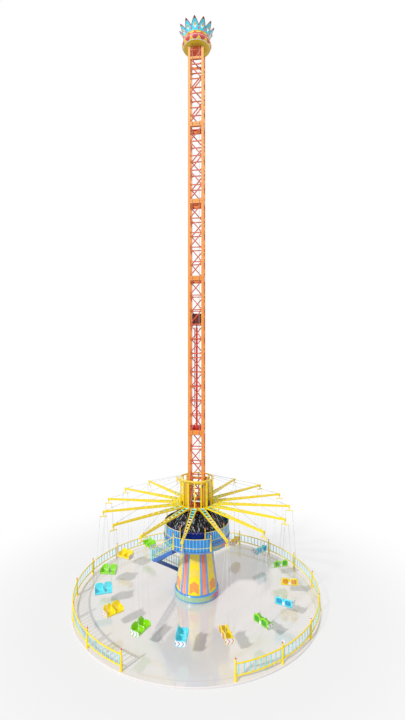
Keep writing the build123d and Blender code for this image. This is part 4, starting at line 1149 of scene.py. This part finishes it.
# half-round scallops that hang from a ring: (size cos t, size sin t), t from pi to 2 pi, bent round the axis
def scallops(radius, top, size, angles, thick=0.007):
    t = np.linspace(pi, 2 * pi, 7)
    outline = np.stack([np.cos(t) * size, np.sin(t) * size], -1)
    return aroundZ(plate(outline, 0, thick, lambda u, v, w: (
        (radius + w) * np.sin(u / radius), -(radius + w) * np.cos(u / radius), top + v)), angles)


piece("skirtBand", [lathe(skirt["bandSection"], 96)], "band_rainbow", replaced=["skirt_base_band"])
piece("skirtRims", [bead(0.812, 0.118, 0.009, 96), lathe(skirt["rimSection"], 96),
                    scallops(0.809, 0.112, 0.030, evenTurn(84))], "scallopBlue")
piece("skirtTopTrim", [lathe(skirt["topSection"], 72)], "scallopBlue")
print("stage: skirt")


# Gallery, balcony, drum and dome

gallery = {"floor": 2.321, "gap": radians(42.8), "bays": 8, "rail": 1.198, "topRail": 0.430, "lowRail": 0.126,
           "height": 0.600, "post": 0.014, "knob": 0.022, "clear": 0.010, "railRadius": 0.011,
           "fascia": [(1.206, 2.084), (1.222, 2.084), (1.228, 2.096), (1.228, 2.268), (1.222, 2.281),
                      (1.206, 2.281)]}
balcony = {"radius": 1.458, "floor": 2.190, "half": radians(28.2), "rail": 1.428, "apronLow": 2.165,
           "lowRail": 0.126, "topRail": 0.430, "height": 0.600, "post": 0.017, "knob": 0.024}

piece("galleryFascia", [lathe(gallery["fascia"], 96)], "fascia", replaced=["gallery_fascia"])
piece("galleryRims", [bead(1.224, 2.272, 0.010, 96), bead(1.224, 2.098, 0.010, 96),
                      scallops(1.221, 2.092, 0.034, evenTurn(112))], "scallopBlue")
galleryPitch = (2 * pi - gallery["gap"]) / gallery["bays"]
galleryAngles = gallery["gap"] / 2 + galleryPitch * np.arange(gallery["bays"] + 1)
postRing("gallery", gallery["rail"], galleryAngles, gallery["floor"], gallery["post"], gallery["height"],
         gallery["knob"], nodes=["gallery_railing"])
railParts, panelParts, barParts = [], [], []


# thin curved sheet: a flat box section turned from one angle to the other
def curvedSheet(radius, start, end, low, high, thick, steps=14):
    near, far = radius - thick / 2, radius + thick / 2
    return lathe([(near, low), (far, low), (far, high), (near, high)], steps, start, end - start)


for first in galleryAngles[:-1]:
    clear = gallery["clear"] / gallery["rail"]
    a, b = first + clear, first + galleryPitch - clear
    heights = [gallery["floor"] + gallery[k] for k in ("lowRail", "topRail")]
    railParts += railBay(gallery["rail"], a, b, heights, gallery["railRadius"], 14)
    panelParts.append(curvedSheet(gallery["rail"], a, b, gallery["floor"] + 0.002,
                                  heights[1] - 0.006, 0.006))
    barParts.append(slatRow(gallery["rail"], np.linspace(a, b, 9)[1:-1], *heights, 0.016, 0.014))
piece("galleryRails", railParts, "railPale")
piece("galleryPanels", panelParts, "infill_blue", replaced=["gallery_infill"])
piece("galleryBars", barParts, "slatCyan", bevel=0.002)

balconyEdge = balcony["half"] - 0.030 / balcony["rail"]
postRing("balcony", balcony["rail"], np.array([-balconyEdge, balconyEdge]), balcony["floor"],
         balcony["post"], balcony["height"], balcony["knob"], nodes=["balcony_railing"])
a, b = -balconyEdge + 0.012, balconyEdge - 0.012
heights = [balcony["floor"] + balcony[k] for k in ("lowRail", "topRail")]
apron = [curvedSheet(balcony["rail"], a, b, balcony["floor"] + 0.002, heights[1], 0.006, 20),
         curvedSheet(balcony["radius"] - 0.004, -balcony["half"] + 0.05, balcony["half"],
                     balcony["apronLow"], balcony["floor"] + 0.004, 0.008, 24)]
piece("balconyRails", railBay(balcony["rail"], a, b, heights, 0.011, 22), "railCream")
piece("balconyPanels", apron, "infill_blue")
barPart = slatRow(balcony["rail"], np.linspace(a, b, 12)[1:-1], balcony["floor"] + 0.004, heights[1],
                  0.013, 0.014)
piece("balconyBars", [barPart], "slatCyan", bevel=0.002)
piece("balconyScallops", [scallops(1.452, balcony["apronLow"] + 0.004, 0.030, np.arange(-9, 12) * 0.0418)],
      "scallopBlue")

drum = {"high": 2.691, "domeFoot": 1.012, "domeTop": 0.600, "domeHigh": 3.180, "pleats": 24,
        "wall": [(1.004, 2.321), (1.020, 2.321), (1.020, 2.34), (1.012, 2.345), (1.012, 2.60),
                 (1.024, 2.612), (1.030, 2.64), (1.030, 2.672), (1.022, 2.690), (1.000, 2.691),
                 (0.990, 2.60)]}
piece("drumWall", [lathe(drum["wall"], 96)], "drum_blue", replaced=["machine_drum"])
drumSpots = onCircle(1.030, evenTurn(48), 2.656)
piece("drumLamps", [studs(drumSpots, onCircle(1.0, evenTurn(48)), 0.011, 0.008, 8, 1)], "sectionLamp")


# pleated cover: from foot to top the radius falls by 0.35 s + 0.65 s^1.9 of the difference; each ridge adds
# d (|cos(n a / 2)|^0.75 - 0.75), and a wrinkle of up to 6 mm runs over it
def domeRadius(share, angle):
    base = drum["domeFoot"] + (drum["domeTop"] - drum["domeFoot"]) * (0.35 * share + 0.65 * share ** 1.9)
    fold = np.abs(np.cos(drum["pleats"] * angle / 2)) ** 0.75
    depth = 0.062 * (1 - 0.45 * share) * np.clip(share * 12, 0.25, 1)
    wrinkle = 0.006 * np.sin(61 * angle + 5 * share) * np.sin(pi * share) * (1 + np.sin(5 * angle)) / 2
    return base + depth * (fold - 0.75) + wrinkle


# outer and inner skin 12 mm apart, both from domeRadius, closed at the foot and at the top
def domeCover():
    count = drum["pleats"] * 10
    a = evenTurn(count)[:, None]
    share = np.linspace(0, 1, 19)[None]
    radius = domeRadius(share, a)
    wave = 0.008 * np.cos(drum["pleats"] * a) * np.sin(pi * share)
    z = drum["high"] + (drum["domeHigh"] - drum["high"]) * share + wave
    outer = onCircle(radius, a, z)
    inner = onCircle(radius - 0.012, a, z - 0.004)
    both = np.concatenate([outer, inner[:, ::-1]], 1)
    return both.reshape(-1, 3), [gridFaces(count, both.shape[1], True, True)]


piece("domePleats", [domeCover()], "dome_black", replaced=["dome_gores"], angle=70)
ridge = evenTurn(drum["pleats"])
for name, share, look, step, size in (
        ("domeLampsCyan", 0.55, "slatCyan", 3, 0.018), ("domeLampsRed", 0.30, "knobRed", 2, 0.011),
        ("domeLampsTop", 0.86, "sectionLamp", 2, 0.011)):
    at = ridge[::step]
    spots = onCircle(domeRadius(share, at), at, drum["high"] + (drum["domeHigh"] - drum["high"]) * share)
    piece(name, [studs(spots, onCircle(1.0, at, 0.8), size, 0.012, 8, 2)], look)
print("stage: gallery and dome")


# Stair railings: the guard stands on the outer stringer of each flight

stair = {"start": (-0.690, -1.312), "corner": (-1.600, -0.510), "end": (-0.490, 1.210), "top": 2.190,
         "turn": 1.420, "height": 0.430, "low": 0.126}


# rails on the line p + (q - p) * share, from a at level high to b at level low; bars at even shares
def flightGuard(a, b, high, low, first, last, count):
    a, b = np.array(a, float), np.array(b, float)
    along = (b - a) / np.linalg.norm(b - a)
    normal = np.array([-along[1], along[0]]) * -0.008
    start, end = a + along * first + normal, b - along * last + normal
    p, q = np.array([*start, high]), np.array([*end, low])
    rails = []
    for rise in (stair["low"], stair["height"]):
        lift = np.array([0, 0, rise - 0.012])
        rails.append(tube([p + lift, p + (q - p) * 0.5 + lift, q + lift], 0.011, 8))
    share = (np.arange(count) + 0.5)[:, None] / count
    foot = p + (q - p) * share + (0, 0, 0.002)
    return rails, bars(foot, foot + (0, 0, stair["height"] - 0.016), 0.024, 0.012, (*along, 0))


turnLevel = stair["turn"] + 0.001
upperRails, upperBars = flightGuard(stair["start"], stair["corner"], stair["top"], stair["turn"] + 0.096,
                                    0.006, 0.182, 8)
turnRails, turnBars = flightGuard(stair["start"], stair["corner"], turnLevel, turnLevel, 1.041, 0.008, 2)
sideRails, sideBars = flightGuard(stair["corner"], stair["end"], turnLevel, turnLevel, 0.020, 1.873, 2)
lowerRails, lowerBars = flightGuard(stair["corner"], stair["end"], stair["turn"], 0.157, 0.182, 0.006, 14)
piece("stairRails", upperRails + turnRails + sideRails + lowerRails, "ride_yellow",
      replaced=["stair_railings"])
cornerPost = bars([[-1.593, -0.512, 1.38]], [[-1.593, -0.512, turnLevel + 0.46]], 0.026, 0.026, (1, 0, 0))
piece("stairBars", [upperBars, turnBars, sideBars, lowerBars, cornerPost], "slatCyan",
      bevel=0.002)
print("stage: stair")


# Camera, floor and light

view = {"place": (1.950, -15.226, 8.733), "turn": 6.49, "lens": 20.5, "sensor": 36.0}
# the backgrounds are (colour, strength) for the sky's light, for gloss and for the camera
light = {"sunElevation": 35, "sunTravel": (0.56, 0.83), "sunStrength": 2.15, "sunSize": 3.0,
         "backgrounds": (((0.97, 0.98, 1.0), 0.66), ((1, 1, 1), 0.95), ((1, 1, 1), 1.0))}
paper = {"radii": (0.0, 3, 6, 9, 14, 30, 80, 300), "tone": 0.6, "roughness": 0.9, "whiteSpan": (5.0, 11.0),
         "nearWhite": 0.70}


# level camera at the place where the photograph was taken from
def setCamera():
    lens = bpy.data.cameras.new("photoCamera")
    lens.lens, lens.sensor_width, lens.sensor_fit = view["lens"], view["sensor"], "AUTO"
    lens.clip_end = 400
    eye = bpy.data.objects.new("photoCamera", lens)
    eye.location = view["place"]
    eye.rotation_euler = (radians(90), 0, radians(view["turn"]))
    bpy.context.scene.collection.objects.link(eye)
    bpy.context.scene.camera = eye


# one shader at share 0, the other at share 1
def blend(tree, share, first, second):
    return node(tree, "MixShader", {0: share, 1: first, 2: second}).outputs[0]


# one soft sun and an even sky; the camera and glass see plain white behind the ride, gloss a little less
def setLight():
    sun = bpy.data.lights.new("sun", "SUN")
    sun.energy, sun.angle = light["sunStrength"], radians(light["sunSize"])
    lamp = bpy.data.objects.new("sun", sun)
    x, y = light["sunTravel"]
    lamp.rotation_euler = (radians(90 - light["sunElevation"]), 0, atan2(-x, y))
    bpy.context.scene.collection.objects.link(lamp)
    world = bpy.data.worlds.new("studio")
    bpy.context.scene.world = world
    world.use_nodes = True
    tree = world.node_tree
    tree.nodes.clear()
    path = node(tree, "LightPath").outputs
    seen = maths(tree, "MAXIMUM", path["Is Camera Ray"], path["Is Transmission Ray"])
    fill, glossy, white = [node(tree, "Background", {"Color": (*color, 1), "Strength": strength}).outputs[0]
                           for color, strength in light["backgrounds"]]
    both = blend(tree, seen, blend(tree, path["Is Glossy Ray"], fill, glossy), white)
    node(tree, "OutputWorld", {"Surface": both})


# the floor is a disc grid; it is lit paper near the ride and turns to plain white further out
def setFloor():
    radii = np.array(paper["radii"])
    turns = np.linspace(0, 2 * pi, 65)[:-1]
    points = np.concatenate([[[0, 0, 0]], onCircle(radii[1:, None], turns[None], -0.001).reshape(-1, 3)])
    count = len(turns)
    i = np.arange(count)
    fan = np.stack([np.zeros(count, int), 1 + i, 1 + (i + 1) % count], -1)
    mesh = bpy.data.meshes.new("floor")
    quads = gridFaces(len(radii) - 1, count, False, True) + 1
    mesh.from_pydata(points.tolist(), [], fan.tolist() + quads.tolist())
    look, tree, shader = freshMaterial("floorPaper")
    feed(tree, shader, {"Base Color": (*[paper["tone"]] * 3, 1), "Roughness": paper["roughness"]})
    path = node(tree, "LightPath").outputs
    radius = ringGroup(tree)["Radius"]
    far = mapped(tree, radius, *paper["whiteSpan"], paper["nearWhite"], 1.0, interpolation_type="SMOOTHSTEP")
    seen = maths(tree, "MAXIMUM", path["Is Camera Ray"], path["Is Glossy Ray"])
    seen = maths(tree, "MAXIMUM", seen, path["Is Transmission Ray"])
    white = node(tree, "Emission", {"Color": (1, 1, 1, 1), "Strength": 1.0})
    mix = blend(tree, maths(tree, "MULTIPLY", seen, far), shader.outputs[0], white.outputs[0])
    feed(tree, tree.nodes["Material Output"], {"Surface": mix})
    mesh.materials.append(look)
    item = bpy.data.objects.new("floor", mesh)
    bpy.context.scene.collection.objects.link(item)


setCamera()
setLight()
setFloor()
bpy.context.scene.view_settings.view_transform = "Standard"
print("stage: camera, light and floor")
